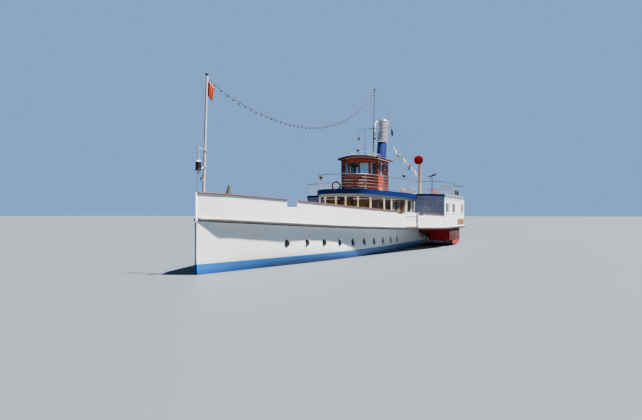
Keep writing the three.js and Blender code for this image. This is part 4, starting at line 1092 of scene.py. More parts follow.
# The saloon's olive glass is partly its own tint and partly painted shade: it is kept dim and mostly opaque
# for the dark saloon behind it.
saloon_glass = glass_finish("saloon_glass", (0.1, 0.095, 0.03), 0.3)
# The paddle houses' forward walls, doors and trim carry painted shade in blue-grey.
paddle_house_painted_shade = finish_with_painted_front_shade("paddle_house_painted_shade", (0.8, 0.81, 0.82), (0.1, 0.155, 0.33))
set_finish(paddle_house_painted_shade, "sponson_house_port", "sponson_house_starboard", "sponson_door_port",
           "sponson_door_starboard")

outer_wall = side_wall(HOUSE_FACE)
fore_wall = front_wall(GUARD_ENDS[0])
back_wall = front_wall(GUARD_ENDS[1], 1)
door_z = doorway(deck_top(GUARD_ENDS[0]))
pane_bm = bmesh.new()
for a in HOUSE_WINDOWS:
    add_wide_window(bm, pane_bm, outer_wall, a, HOUSE_WINDOW_Z, 25, 40, 4)
    add_plate(bm, outer_wall, (a[0] - 70, a[1] + 70), HOUSE_SILL_Z, -2, 30)
add_frame(bm, fore_wall, HOUSE_DOOR, door_z, [(8, -4), (8, 14), (52, 14), (60, -4)])
for a, z in HOUSE_PANELS:
    add_frame(bm, fore_wall, a, z, PANEL_BEAD)
    add_frame(bm, back_wall, a, z, PANEL_BEAD)
for z in HOUSE_BEADS_Z:
    add_plate(bm, outer_wall, (23640, 32260), (z, z + 22), -2, 12)
for s in HOUSE_RIBS:
    add_plate(bm, outer_wall, (s - 16, s + 16), (1500, 3380), -2, 10)
for p in HAND_GRIPS:
    add_tube(bm, [(23560, p, 2250), (23520, p, 2270), (23520, p, 2830), (23560, p, 2850)], 14)
fit(bm, "paddle_house_trim", paddle_house_painted_shade, "house_white", both=True)
fit(pane_bm, "paddle_house_panes", shade_painted_glass, "window_glass", both=True)


def add_door_trim(bm, wall, a, z, window, handle_at):
    """Raised panel, window frame and lever handle on the face of a door."""
    add_frame(bm, wall, (a[0] + 150, a[1] - 150), (z[1] - window, z[1] - 150), FRAME_THIN)
    add_frame(bm, wall, (a[0] + 130, a[1] - 130), (z[0] + 140, z[1] - window - 120), [
        (-34, -2), (-26, 10), (-6, 10), (0, -2)])
    at, height = handle_at, z[0] + 980
    toward = 110 if at < (a[0] + a[1]) / 2 else -110
    add_tube(bm, [wall(at, height, -4), wall(at, height, 46), wall(at + toward, height, 50)], 11)
    add_plate(bm, wall, (at - 26, at + 26), (height - 70, height + 70), -2, 8)


fit_pair("paddle_house_door_trim", paddle_house_painted_shade, "house_white", "sponson_door",
         lambda bm: add_door_trim(bm, fore_wall, HOUSE_DOOR, door_z, 800, HOUSE_DOOR[1] - 90))
fit_pair("paddle_house_door_panel", paddle_house_painted_shade, "house_white", "sponson_door",
         lambda bm: add_plate(bm, fore_wall, (HOUSE_DOOR[0] + 142, HOUSE_DOOR[1] - 142),
                              (door_z[1] - 808, door_z[1] - 142), -30, -24, 1))

louvre_teak = plank_finish("louvre_teak", (0.34, 0.17, 0.07), (0.17, 0.08, 0.04), (0.02, 0.015, 0.01), 4.0,
                           gap=0.0, rough=(0.4, 0.65))
first, last = LOUVRE[0]
half = (last - first) / 2 - 10
add_skin(bm, [[(x, y, z) for y, z in ((-28, 18), (-22, 26), (24, -14), (18, -22))] for x in (-half, half)])
item = make_mesh(bm, "slat_item", louvre_teak, in_ship=False)
spots = [(((first + last) / 2, HOUSE_FACE - 2, LOUVRE[1][0] + 36 + 54 * k), (0, 0, 1)) for k in range(7)]
attach(set_at("louvre_slats", other_side(spots), item, louvre_teak), "deck_teak")
add_frame(bm, outer_wall, *LOUVRE, [(-30, -28), (-30, 16), (16, 16), (16, -2)])
for k in (1, 2, 3):
    s = first + (last - first) * k / 4
    add_plate(bm, outer_wall, (s - 22, s + 22), LOUVRE[1], -28, 18)
fit(bm, "louvre_frame", louvre_teak, "deck_teak", both=True)


# Saloon
# The deckhouse under the sun deck has wide windows in varnished frames, set in white steel walls
# over a moulded rail, and varnished doors in its front and back. Its front, doors and frames take a
# darker copy of the wheelhouse's varnish: varnished wood, darkened as painted shade from the deck above.

SALOON_FACE = 3000
SALOON_WINDOW_Z = (2280, 3300)
WIDE_WINDOW = 900
SALOON_FRONT = 17600
SALOON_BACK = 41000
SALOON_TURNS = [(SALOON_FRONT, 1300), (18200, 1900), (21400, SALOON_FACE)]
SIDE_WINDOWS = [(21750, 23000), *[(32900 + 1600 * k, 34150 + 1600 * k) for k in range(5)]]
TURN_WINDOWS = [(0, 17720, 18080), (1, 18500, 19600), (1, 19850, 21050)]


def slanted_wall(a, b):
    """A wall on the port side that runs aft from a to b. Distances along it start at a."""
    way = (Vector(b) - Vector(a)).normalized()
    return lambda at, z, out: (a[0] + way.x * at - way.y * out, a[1] + way.y * at + way.x * out, z)


def varnish_finish(name, light, dark, rough=(0.12, 0.3)):
    """Clear varnish over red-brown wood whose grain lies level."""
    material, tree, shader = new_material(name, Coat_Weight=0.7, Coat_Roughness=0.08)
    spot = spot_of(tree)
    drawn = add_node(tree, "ShaderNodeMapping", {"Vector": spot, "Scale": (2.5, 2.5, 60)})
    grain = noise(tree, drawn.outputs[0], 2, 6)
    share = math_node(tree, "MULTIPLY", math_node(tree, "ADD", grain, noise(tree, spot, 2.6, 1)), 0.5)
    marks = weather(tree, 2.0, 0.3, 0.3)
    colour = mix(tree, map_range(tree, share, 0.38, 0.62), (*light, 1), (*dark, 1))
    faded = mix(tree, marks["Soiled"], colour, (*[c * 0.45 + 0.02 for c in light], 1))
    set_looks(shader, faded, marks["Dull"], (0.1, 0.45), rough, grain, 0.2, 0.001)
    return material


mahogany = varnish_finish("mahogany_varnish", (0.16, 0.022, 0.006), (0.055, 0.009, 0.004))
# A darker copy of the mahogany varnish for the saloon under the sun deck: varnished wood, partly darkened as
# painted shade.
mahogany_with_painted_shade = varnish_finish("mahogany_with_painted_shade", (0.07, 0.022, 0.012), (0.03, 0.011, 0.007))
set_finish(mahogany_with_painted_shade, "saloon_front", "saloon_front_door", "saloon_aft_door")
set_finish(house_white, "saloon_side_port", "saloon_side_starboard", "saloon_aft")
saloon_side = side_wall(SALOON_FACE)
saloon_front = front_wall(SALOON_FRONT)
turned_walls = [slanted_wall(a, b) for a, b in zip(SALOON_TURNS, SALOON_TURNS[1:])]
turned_lengths = [math.dist(a, b) for a, b in zip(SALOON_TURNS, SALOON_TURNS[1:])]
saloon_back = front_wall(SALOON_BACK, 1)
openings = [(saloon_side, a) for a in SIDE_WINDOWS]
openings += [(saloon_front, (520, 1220)), (saloon_back, (800, 2300))]
for turn, first, last in TURN_WINDOWS:
    a, b = SALOON_TURNS[turn:turn + 2]
    stretched = turned_lengths[turn] / (b[0] - a[0])
    openings.append((turned_walls[turn], ((first - a[0]) * stretched, (last - a[0]) * stretched)))
frame_bm = bmesh.new()
pane_bm = bmesh.new()
low = SALOON_WINDOW_Z[0]
for wall, a in openings:
    if a[1] - a[0] > WIDE_WINDOW:
        add_wide_window(frame_bm, pane_bm, wall, a, SALOON_WINDOW_Z, 20, 36, 8)
    else:
        add_window(frame_bm, pane_bm, wall, a, SALOON_WINDOW_Z)
    add_plate(frame_bm, wall, (a[0] - 60, a[1] + 60), (low - 70, low - 46), -2, 34)
doorways = ((saloon_front, SALOON_FRONT, "saloon_front_door"), (saloon_back, SALOON_BACK, "saloon_aft_door"))
for wall, s, body in doorways:
    z = doorway(deck_top(s))
    add_frame(frame_bm, wall, (-400, 400), z, [(8, -4), (8, 16), (58, 16), (64, -4)])
    add_door_trim(bm, wall, (-400, 400), z, 900, -310)
    fit(bm, body + "_trim", mahogany_with_painted_shade, "mahogany", on=body)
    add_plate(bm, wall, (-258, 258), (z[1] - 908, z[1] - 142), -30, -24, 1)
    fit(bm, body + "_pane", saloon_glass, "window_glass", on=body)
fit(frame_bm, "saloon_window_frames", mahogany_with_painted_shade, "mahogany", both=True)
fit(pane_bm, "saloon_panes", saloon_glass, "window_glass", both=True)
moulded = [
    (saloon_side, (21420, 23560)), (saloon_side, (32360, 40980)), (saloon_front, (470, 1296)),
    (saloon_back, (470, 2990)),
    *[(wall, (4, length - 4)) for wall, length in zip(turned_walls, turned_lengths)],
]
for z in (2150, 3390):
    for wall, a in moulded:
        add_plate(bm, wall, a, (z, z + 26), -2, 14)
fit(bm, "saloon_mouldings", house_white, "house_white", both=True)


# Sun deck
# A cambered deck of planks over white beams and ceiling. A painted board, navy round the front and
# pale grey along the sides, covers its edge and stands up as a low toe-board.

SUN_SHEER = [
    (14500, 4075), (17000, 4000), (20000, 3910), (23600, 3850), (34000, 3850), (38000, 3890), (43200, 4000),
]
SUN_FRONT = [
    (16480, 345), (16640, 1180), (17290, 1860), (18620, 2400), (19430, 2670), (21470, 3200), (23600, 3300),
]
SUN_STERN = [(32300, 3400), (39000, 3300), (41300, 2900), (42300, 1900), (42600, 600)]
SUN_HALF = 3300
SUN_COLUMNS = [0, 500, 700, 1500, 2300, SUN_HALF, 4300, GUARD_HALF]
SUN_CAMBER = 100
SUN_HOLES = [(24290, 26160, 700), (33500, 36300, 500)]
FASCIA = [(-64, -290), (14, -290), (20, -278), (20, -262), (12, -254), (12, -6), (18, 0), (18, 14), (8, 22),
          (-24, 22), (-30, 14), (-30, 4), (-64, 4)]
CROSS_BOARD = [(-64, -250), (8, -250), (10, -240), (10, -58), (-64, -58)]
TOE_BOARD = [(20, 74), (10, 84), (-20, 84), (-30, 74), (-30, 4), (-64, 4)]
LOW_FASCIA = [(-64, -60), (14, -60), (20, -48), *TOE_BOARD]
GREY_FASCIA = [(-64, -130), (14, -130), (20, -118), *TOE_BOARD]
whole_front = [*[(s, -p) for s, p in reversed(SUN_FRONT)], *SUN_FRONT]


def moved_in(path, distance):
    """A path moved to its right, which is inwards for one that runs from the bow aft to port."""
    return [spot - out * distance for spot, out in mitres(path)]


def port_front(inset=0, last=23600):
    """The sun deck's rounded front on the port side, from the centreline aft to a last distance."""
    curve = smooth_route([(s, p, 0) for s, p in whole_front], 6)
    curve = moved_in([spot.to_2d() for spot in curve], inset)
    return [(s, p) for s, p in curve if p > -0.1 and s < last - 1] + [(last, SUN_HALF - inset)]


fore, aft = GUARD_ENDS
SUN_EDGE = [
    *port_front(), (fore + 1, GUARD_HALF), (aft, GUARD_HALF), (aft + 1, 3400), *SUN_STERN[1:], (42601, 0)]


def sun_top(s, p):
    return follow(SUN_SHEER, s) - SUN_CAMBER * (p / GUARD_HALF) ** 2


sun_planks = plank_finish(
    "sun_deck_planks", (0.44, 0.36, 0.26), (0.3, 0.22, 0.15), (0.03, 0.028, 0.025), 0.055)
breaks = sorted({16540, fore, aft, 42600, *[s for hole in SUN_HOLES for s in hole[:2]]})
for near, far in zip(SUN_COLUMNS, SUN_COLUMNS[1:]):
    for first, last in zip(breaks, breaks[1:]):
        if any(first >= a and last <= b and far <= half for a, b, half in SUN_HOLES):
            continue
        rows = [
            s for s in sorted({*range(first, last, 100), last}) if follow(SUN_EDGE, s + 0.5) - 60 > near + 4]
        if len(rows) < 2:
            continue
        sections = []
        for s in rows:
            out = min(far, max(follow(SUN_EDGE, s + 0.5), follow(SUN_EDGE, s - 0.5)) - 60)
            sections.append([
                (s, p, sun_top(s, p) + rise) for p, rise in ((near, -4), (out, -4), (out, 12), (near, 12))])
        add_skin(bm, sections)
fit(bm, "sun_deck_planking", sun_planks, "deck_teak", both=True)
set_finish(house_white, "sun_deck", "sun_deck_aft")

navy_paint = worn_finish("navy_paint", (0.0008, 0.01, 0.08), (0.003, 0.016, 0.095), (0.6, 0.8),
                         Specular_IOR_Level=0.08)
grey_paint = worn_finish("grey_paint", (0.2, 0.26, 0.31), (0.15, 0.19, 0.23), (0.35, 0.55))


def subdivided(path, step=700):
    """The same path with points no further apart than a step."""
    points = [path[0]]
    for a, b in zip(path, path[1:]):
        count = max(1, math.ceil(math.dist(a, b) / step))
        points += [
            tuple(a[i] + (b[i] - a[i]) * k / count for i in range(len(a))) for k in range(1, count + 1)]
    return points


cross_edge = subdivided([(fore, 3290), (fore, GUARD_HALF)])
side_edge = subdivided([(fore, GUARD_HALF), (aft, GUARD_HALF), (aft, 3400), *SUN_STERN[1:], (42600, 0)])
for name, path, section, finish, slot in (
    ("front_fascia", port_front(), FASCIA, navy_paint, "navy_paint"),
    ("cross_fascia", cross_edge, LOW_FASCIA, navy_paint, "navy_paint"),
    # The cross board takes the same paint, with painted shade on its forward face.
    ("cross_board", cross_edge, CROSS_BOARD, paddle_house_painted_shade, "house_white"),
    ("side_fascia", side_edge, GREY_FASCIA, grey_paint, "header_grey"),
):
    add_strip(bm, path, section, sun_top)
    fit(bm, name, finish, slot, both=True)


# Pillars
# Slim turned columns stand round the front of the sun deck on small flanges. A deep grey header
# ties their heads together under the deck's edge.

PILLAR_INSET = 120
PILLAR = [(78, 0), (78, 18), (62, 30), (50, 60), (47, 200), (47, 1700), (50, 1850), (64, 1890), (64, 1930)]
LAST_PILLAR = 23440
HEADER = [(-40, -242), (-40, -480), (-32, -488), (32, -488), (40, -480), (46, -300), (40, -242)]

add_strip(bm, port_front(PILLAR_INSET, 23480), HEADER, sun_top)
fit(bm, "pillar_header", grey_paint, "header_grey", "deck_pillars", both=True)

corners = moved_in(whole_front, PILLAR_INSET)[len(SUN_FRONT):-1]
feet = [*corners, (LAST_PILLAR, follow([corners[-1], (fore, SUN_HALF - PILLAR_INSET)], LAST_PILLAR))]
for s, p in feet:
    foot = deck_top(s) + PLANK_THICK - 2
    top = sun_top(s, p) - 480
    add_upright(bm, (s, p, foot), [*PILLAR[:5], *[(r, top - foot - 1930 + h) for r, h in PILLAR[5:]]], 14)
fit(bm, "pillars", house_white, "rail_paint", both=True)


# Railings
# Round steel rails run through turned posts with ball heads round the sun deck's edge, with a
# hand rail over four thin bars. The hand rail's dark blue-grey is painted shade.

RAIL_INSET = 70
RAIL_HEIGHT = 980
RAIL_BARS = [200, 395, 590, 785]
POST = [(40, 0), (40, 14), (20, 26), (14, 60), (12, 480), (17, 500), (12, 520), (11, 940), (18, 962)]
FORE_POSTS = (1660, 1760)
rail_white = worn_finish("rail_white", (0.26, 0.27, 0.28), (0.18, 0.17, 0.16), (0.35, 0.55), size=3)
# Dark blue-grey for the hand rail: painted shade.
hand_rail_painted_shade = worn_finish("hand_rail_painted_shade", (0.035, 0.06, 0.09), (0.08, 0.09, 0.11), (0.3, 0.5), size=4)
fore_half = port_front(RAIL_INSET, 23500)
fore_path = [*[(s, -p) for s, p in reversed(fore_half[1:])], *fore_half]
house_path = subdivided([(23670, 3230), (23670, 5280), (32230, 5280), (32230, 3400)])
stern_half = subdivided([
    (32420, 3330), (39000, 3230), (41270, 2850), (42230, 1870), (42500, 590), (42500, 0)])
stern_path = [*stern_half, *[(s, -p) for s, p in reversed(stern_half[:-1])]]
rail_routes = {
    "fore": ([fore_path], ["railing_fore"]),
    "houses": ([house_path, [(s, -p) for s, p in reversed(house_path)]],
               ["railing_sponson_port", "railing_sponson_starboard"]),
    "aft": ([stern_path], ["railing_aft"]),
}


def fore_posts():
    """Places for posts on both sides of the rounded front."""
    fine = resampled([Vector(spot) for spot in fore_half], 400)
    spots = []
    travelled = 0
    for a, b in zip(fine, fine[1:]):
        step = (b - a).length
        due = FORE_POSTS[0] + FORE_POSTS[1] * (len(spots) // 2)
        if travelled <= due < travelled + step:
            spots += [(b.x, side * b.y, sun_top(*b) + 8) for side in (1, -1)]
        travelled += step
    return spots


def posts_along(route, spacing=1900):
    """Places for posts at a route's corners and between them."""
    ways = [Vector(b) - Vector(a) for a, b in zip(route, route[1:])]
    turns = [i for i in range(1, len(ways)) if ways[i - 1].angle(ways[i]) > math.radians(12)]
    marks = [0, *turns, len(route) - 1]
    spots = []
    for first, last in zip(marks, marks[1:]):
        run = [Vector(point) for point in route[first:last + 1]]
        spots += resampled(run, max(1, round(route_length(run) / spacing)) + 1)
    return [(spot.x, spot.y, sun_top(*spot) + 8) for k, spot in enumerate(spots)
            if k == 0 or (spot - spots[k - 1]).length > 1]


for label, (routes, replaced) in rail_routes.items():
    bars = bmesh.new()
    hand = bmesh.new()
    for route in routes:
        for rise in RAIL_BARS:
            add_tube(bars, [(s, p, sun_top(s, p) + rise) for s, p in route], 5, 6)
        add_tube(hand, [(s, p, sun_top(s, p) + RAIL_HEIGHT) for s, p in route], 26, 10)
    fit(bars, "rail_bars_" + label, rail_white, "rail_paint", *replaced)
    fit(hand, "hand_rail_" + label, hand_rail_painted_shade, "rail_paint")
    feet = fore_posts() if label == "fore" else [spot for route in routes for spot in posts_along(route)]
    spots = [(foot, (0, 0, 1)) for foot in feet]
    attach(set_at("rail_posts_" + label, spots, turned_item(POST, rail_white, 10), rail_white), "rail_paint")


# Wheelhouse
# Crowned boards of varnished mahogany on a frame, with a panel on each side in a lighter, orange
# copy of the varnish: painted sunlight. Large panes stand over a moulded sill, and a banded frieze
# runs round under the crowned roof.

WHEELHOUSE_ENDS = (20300, 23200)
WHEELHOUSE_HALF = 1300
WHEELHOUSE_CORNER = [(20300, 750), (20520, 1300)]
ROOF_HALF = 1560
WHEELHOUSE_DOOR = (22050, 22800)
HOUSE_GLASS_Z = (5180, 5980)
BOARD_EDGES = [3960, 4200, 4450, 4745, 4980, 5130]
SIDE_PANEL = (20560, 21960)
ROOF_RAIL = [(20500, -750), (20500, 750), (23000, 750), (23000, -750)]
BALL = [(10, -98), (58, -80), (86, -48), (100, 0), (86, 50), (58, 80), (20, 98)]
BALL_LAMPS = [(20400, -110, 6880), (16930, -1500, 4795), (21060, 3020, 5050)]
house_bow = [(20300, 0), *WHEELHOUSE_CORNER, (21985, 1300)]
house_aft = [(22865, 1300), (23200, 1300), (23200, 0)]


def roof_height(p):
    return 6520 - 200 * (p / ROOF_HALF) ** 2


def roof_under(p):
    return roof_height(p) - 102


# A lighter, orange copy of the mahogany varnish, painted sunlight, for the side panels and the band under
# the frieze.
varnish_painted_sunlight = varnish_finish("varnish_painted_sunlight", (0.34, 0.035, 0.003), (0.2, 0.02, 0.002))
set_finish(mahogany, "wheelhouse_walls", "wheelhouse_door_port", "wheelhouse_door_starboard")
boards = bmesh.new()
bright_bm = bmesh.new()
frieze = bmesh.new()
for path in (house_bow, house_aft):
    for low, high in zip(BOARD_EDGES, BOARD_EDGES[1:]):
        add_strip(boards, path, [
            (-2, low + 2), (7, low + 5), (13, (low + high) / 2), (7, high - 5), (-2, high - 2)])
    add_strip(boards, path, lambda s, p: [
        (-2, sun_top(s, p) + 6), (26, sun_top(s, p) + 6), (26, 3940), (-2, 3962)])
    add_strip(boards, path, [(-2, 5124), (30, 5132), (36, 5150), (30, 5170), (-2, 5176)])
for path in (subdivided([*house_bow[:3], (22040, 1300)], 250),
             subdivided([(22040, 1300), *house_aft[1:]], 250)):
    add_strip(frieze, path, lambda s, p: [
        (-2, 6008), (14, 6012), (14, roof_under(p) - 40), (40, roof_under(p) - 4), (-2, roof_under(p))])
    add_strip(bright_bm, path, [(8, 6070), (22, 6076), (22, 6134), (8, 6140)])
cabin_side = side_wall(WHEELHOUSE_HALF)
add_plate(bright_bm, cabin_side, SIDE_PANEL, (3970, 5118), 4, 24)
add_frame(bright_bm, cabin_side, (SIDE_PANEL[0] + 90, SIDE_PANEL[1] - 90), (4060, 5030), [
    (-16, 20), (-10, 36), (10, 36), (16, 20)])
fit(boards, "wheelhouse_boards", mahogany, "mahogany", both=True)
fit(frieze, "wheelhouse_frieze", mahogany, "mahogany", both=True)
fit(bright_bm, "wheelhouse_bright_panels", varnish_painted_sunlight, "mahogany", both=True)

cabin_front = front_wall(WHEELHOUSE_ENDS[0])
cabin_back = front_wall(WHEELHOUSE_ENDS[1], 1)
cabin_facet = slanted_wall(*WHEELHOUSE_CORNER)
facet_share = math.dist(*WHEELHOUSE_CORNER) / 550
cabin_openings = [
    (cabin_front, (50, 700)), (cabin_facet, (80 * facet_share, 450 * facet_share)),
    (cabin_side, (21150, 21950)), (cabin_back, (150, 1050)),
]
cabin_door_z = doorway(sun_top(WHEELHOUSE_DOOR[0], 0))
frame_bm = bmesh.new()
pane_bm = bmesh.new()
for wall, a in cabin_openings:
    add_window(frame_bm, pane_bm, wall, a, HOUSE_GLASS_Z, -28)
add_frame(frame_bm, cabin_side, WHEELHOUSE_DOOR, cabin_door_z, [(6, -4), (6, 16), (56, 16), (62, -4)])
for a in ((20560, 20840), (20900, 21110)):
    add_frame(frame_bm, cabin_side, a, HOUSE_GLASS_Z, [(-30, -2), (-24, 10), (0, 10), (6, -2)])
fit(frame_bm, "wheelhouse_window_frames", mahogany, "mahogany", both=True)
fit(pane_bm, "wheelhouse_panes", window_glass, "window_glass", both=True)
window_drop = cabin_door_z[1] - HOUSE_GLASS_Z[0]
fit_pair("wheelhouse_door_trim", mahogany, "mahogany", "wheelhouse_door",
         lambda bm: add_door_trim(bm, cabin_side, WHEELHOUSE_DOOR, cabin_door_z, window_drop, 22720))
fit_pair("wheelhouse_door_pane", window_glass, "window_glass", "wheelhouse_door",
         lambda bm: add_plate(bm, cabin_side, (22192, 22658), (5172, cabin_door_z[1] - 142), -30, -24, 1))


def roof_front(p):
    return 19980 + 250 * max(0, (abs(p) - 800) / 760)


roof_canvas = worn_finish("roof_canvas", (0.36, 0.37, 0.38), (0.22, 0.22, 0.22), (0.6, 0.85), size=2)
top_bm = bmesh.new()
for rings_bm, low, high, less in ((bm, -100, 0, 0), (top_bm, -6, 6, 34)):
    rings = []
    for k in range(-14, 15):
        p = (ROOF_HALF - less) * k / 14
        first, last, z = roof_front(p) + less, 23520 - less, roof_height(p)
        rings.append([(first, p, z + low), (first - 12, p, z + (low + high) / 2), (first, p, z + high),
                      (last, p, z + high), (last + 12, p, z + (low + high) / 2), (last, p, z + low)])
    add_skin(rings_bm, rings)
roof_brown = worn_finish("roof_brown", (0.05, 0.011, 0.006), (0.03, 0.008, 0.006), (0.6, 0.8), size=3,
                         Specular_IOR_Level=0.0)
fit(bm, "wheelhouse_roof_boards", roof_brown, "mahogany", "wheelhouse_roof")
fit(top_bm, "wheelhouse_roof_cover", roof_canvas, "canvas")

# On the roof: a low rail, a lamp on a stalk and a short staff, and pipes up the starboard front
for a, b in zip(ROOF_RAIL, [*ROOF_RAIL[1:], ROOF_RAIL[0]]):
    route = [(s, p, roof_height(p) + 280) for s, p in subdivided([a, b], 200)]
    add_tube(bm, route, 13, 8)
    for s, p in subdivided([a, b], 900)[1:]:
        add_upright(bm, (s, p, roof_height(p)), [
            (34, 0), (34, 10), (11, 18), (11, 272), (18, 280), (12, 296)])
add_upright(bm, (20400, -110, roof_height(110)), [(40, 0), (40, 12), (17, 20), (17, 380)], 12)
fit(bm, "roof_rail_and_staff", rail_white, "rail_paint")
black_paint = worn_finish("black_paint", (0.006, 0.006, 0.009), (0.016, 0.015, 0.015), (0.4, 0.65), size=4)
foot = roof_height(402)
add_upright(bm, (20400, 402, foot), [
    (45, 0), (40, 60), (20, 70), (11, 1640), (24, 1650), (24, 1680), (10, 1700)], 12)
add_tube(bm, [(20400, -1310, z) for z in (3930, 5200, 6330)], 46, 12)
for z in (4100, 4700, 5300, 5900):
    add_tube(bm, [(20400, -1310, z), (20540, -1290, z)], 14, 6)
fit(bm, "wheelhouse_staff_and_pipe", black_paint, "black_paint")


def add_ball(bm, s, p, z, radius=100):
    add_upright(bm, (s, p, z), [(r * radius / 100, h * radius / 100) for r, h in BALL], 20)


for s, p, z in BALL_LAMPS:
    add_ball(bm, s, p, z, 118)
    add_tube(bm, [(s, p, z - 60), (s, p, z - 230)], 16, 8)
fit(bm, "ball_lamps", black_paint, "black_paint")


# Helm
# A turned mahogany wheel with eight handles on brass, on the after side of a panelled stand.

HELM = (21420, 4880)
HANDLE = [(14, 0), (20, 60), (14, 120), (24, 300), (15, 410), (15, 440), (22, 470), (19, 520), (10, 548)]


def add_hoop(bm, centre, way, radius, section, count=40):
    """Ring round a line, from pairs of a distance out from its radius and a height along the line."""
    centre, way = Vector(centre), Vector(way).normalized()
    side = way.orthogonal().normalized()
    add_skin(bm, [[
        centre + ray * (radius + out) + way * height for out, height in section
    ] for ray in spokes(side, way.cross(side), count)], looped=True)


brass = worn_finish("brass", (0.62, 0.42, 0.16), (0.3, 0.19, 0.08), (0.2, 0.45), size=8, Metallic=1.0)
s, z = HELM
add_hoop(bm, (s, 0, z), (1, 0, 0), 420, [
    (-30, -16), (-30, 16), (-22, 24), (22, 24), (30, 16), (30, -16), (22, -24), (-22, -24)])
for k in range(8):
    turn = math.pi * k / 4
    add_turned(bm, (s, 0, z), (s, math.cos(turn), z + math.sin(turn)), HANDLE, 10)
fit(bm, "helm_wheel_wood", mahogany, "mahogany", "helm_wheel", on="helm_wheel")
add_turned(bm, (s - 45, 0, z), (s, 0, z), [
    (80, 0), (90, 8), (90, 82), (70, 90), (30, 96), (26, 110), (8, 116)])
add_hoop(bm, (s, 0, z), (1, 0, 0), 420, [(-14, 24), (14, 24), (14, 28), (-14, 28)])
fit(bm, "helm_wheel_brass", brass, "brass", on="helm_wheel")
set_finish(mahogany, "helm_stand")
add_plate(bm, front_wall(20950), (-150, 150), (4000, 4960), -2, 12)
add_plate(bm, front_wall(21250, 1), (-150, 150), (4000, 4720), -2, 12)
add_upright(bm, (21100, 0, 5040), [
    (150, 0), (150, 20), (130, 34), (126, 90), (110, 100), (90, 130), (40, 150)])
fit(bm, "helm_stand_trim", brass, "brass")


# Funnel
# A raked steel stack, navy below and bright aluminium paint above a step. Riveted hoops bind it, a
# soot-black flue shows in its top, and a white casing boxes its foot through both decks.

FUNNEL_FOOT = (25100, 0, 3900)
FUNNEL_TOP = (26400, 0, 9750)
STACK = [(300, 0), (360, 10), (360, 4180), (350, 4196), (300, 4200)]
SLEEVE = [
    (0, 4170), (362, 4176), (372, 4200), (402, 4226), (405, 4240), (405, 5860), (422, 5872), (428, 5900),
    (422, 5930), (410, 5944), (410, 5984), (402, 5992), (354, 5992), (354, 4500), (0, 4495),
]
FLUE = [(0, 4495), (352, 4499), (352, 5988), (343, 5988), (338, 4530), (0, 4520)]
HOOPS = [(360, 1300), (360, 2750), (405, 4290), (405, 5060)]
HOOP = [(-4, -32), (10, -30), (12, 0), (10, 30), (-4, 32)]
RIVET = [(17, -3), (17, 2), (12, 8), (4, 10)]
CASING = (24300, 26150, 700)
CASING_BEAD = [(-14, -2), (-10, 8), (10, 8), (14, -2)]

funnel_way = (Vector(FUNNEL_TOP) - Vector(FUNNEL_FOOT)).normalized()
silver_paint = worn_finish("silver_paint", (0.66, 0.66, 0.7), (0.36, 0.33, 0.34), (0.2, 0.4), size=2,
                           streaks=0.8, Metallic=0.7)
soot = worn_finish("soot", (0.012, 0.011, 0.011), (0.03, 0.028, 0.026), (0.8, 0.95), size=5)
for name, profile, hoops, finish, slot, stands_for in (
    ("funnel_stack", STACK, HOOPS[:2], navy_paint, "navy_paint", ["funnel"]),
    ("funnel_sleeve", SLEEVE, HOOPS[2:], silver_paint, "silver_paint", []),
    ("funnel_flue", FLUE, [], soot, "black_paint", []),
):
    add_turned(bm, FUNNEL_FOOT, FUNNEL_TOP, profile, 48)
    for radius, height in hoops:
        add_hoop(bm, Vector(FUNNEL_FOOT) + funnel_way * height, funnel_way, radius, HOOP, 48)
    fit(bm, name, finish, slot, *stands_for)


def round_funnel(radius, height, count):
    """Places and facings spread round the funnel."""
    side = Vector((0, 1, 0))
    ways = spokes(side, funnel_way.cross(side), count)
    return [(tuple(Vector(FUNNEL_FOOT) + funnel_way * height + way * radius), tuple(way)) for way in ways]


def rectangle(block, z, out):
    """A block's corners at a height, moved out: from its front, its back and half its width."""
    first, last, half = block
    return [(first - out, -half - out, z), (last + out, -half - out, z), (last + out, half + out, z),
            (first - out, half + out, z)]


for name, hoops, finish, slot in (
    ("funnel_rivets_navy", HOOPS[:2], navy_paint, "navy_paint"),
    ("funnel_rivets", HOOPS[2:], silver_paint, "silver_paint"),
):
    spots = [spot for radius, height in hoops for spot in round_funnel(radius + 11, height, 30)]
    attach(set_at(name, spots, turned_item(RIVET, finish, 8), finish), slot)

first, last, half = CASING
add_skin(bm, [rectangle(CASING, z, out) for z, out in (
    (1476, 0), (3852, 0), (3856, 0), (4070, 0), (4074, 26), (4104, 26), (4112, 16))])
add_turned(bm, (25130, 0, 4050), FUNNEL_TOP, [
    (470, 0), (470, 60), (440, 90), (372, 130), (366, 240), (362, 250)], 48)
for a in ((-640, -40), (40, 640)):
    add_frame(bm, front_wall(first), a, (3920, 4050), CASING_BEAD)
for a in ((24360, 24900), (24960, 25480), (25540, 26090)):
    for side in (1, -1):
        add_frame(bm, side_wall(half, side), a, (3920, 4050), CASING_BEAD)
fit(bm, "funnel_casing", house_white, "house_white")
pipe = [
    (25960, -330, 8230), (25900, -560, 8400), (25900, -570, 9250), (26000, -530, 9560), (26180, -440, 9740)]
add_tube(bm, smooth_route(pipe, 8), 46, 14)
add_turned(bm, (25900, -565, 8500), (25900, -568, 9000), [
    (46, 0), (66, 10), (66, 60), (52, 70), (52, 420), (66, 430), (66, 470), (46, 480)], 18)
fit(bm, "steam_whistle", house_white, "rail_paint")


# Masts
# Tapered grey poles with turned trucks, the main mast and its yard in a darker grey: painted shade.
# The main mast carries a yard, and the bow mast a bracket with a lantern in front of the stem. Welded
# lugs hold the string of lights.

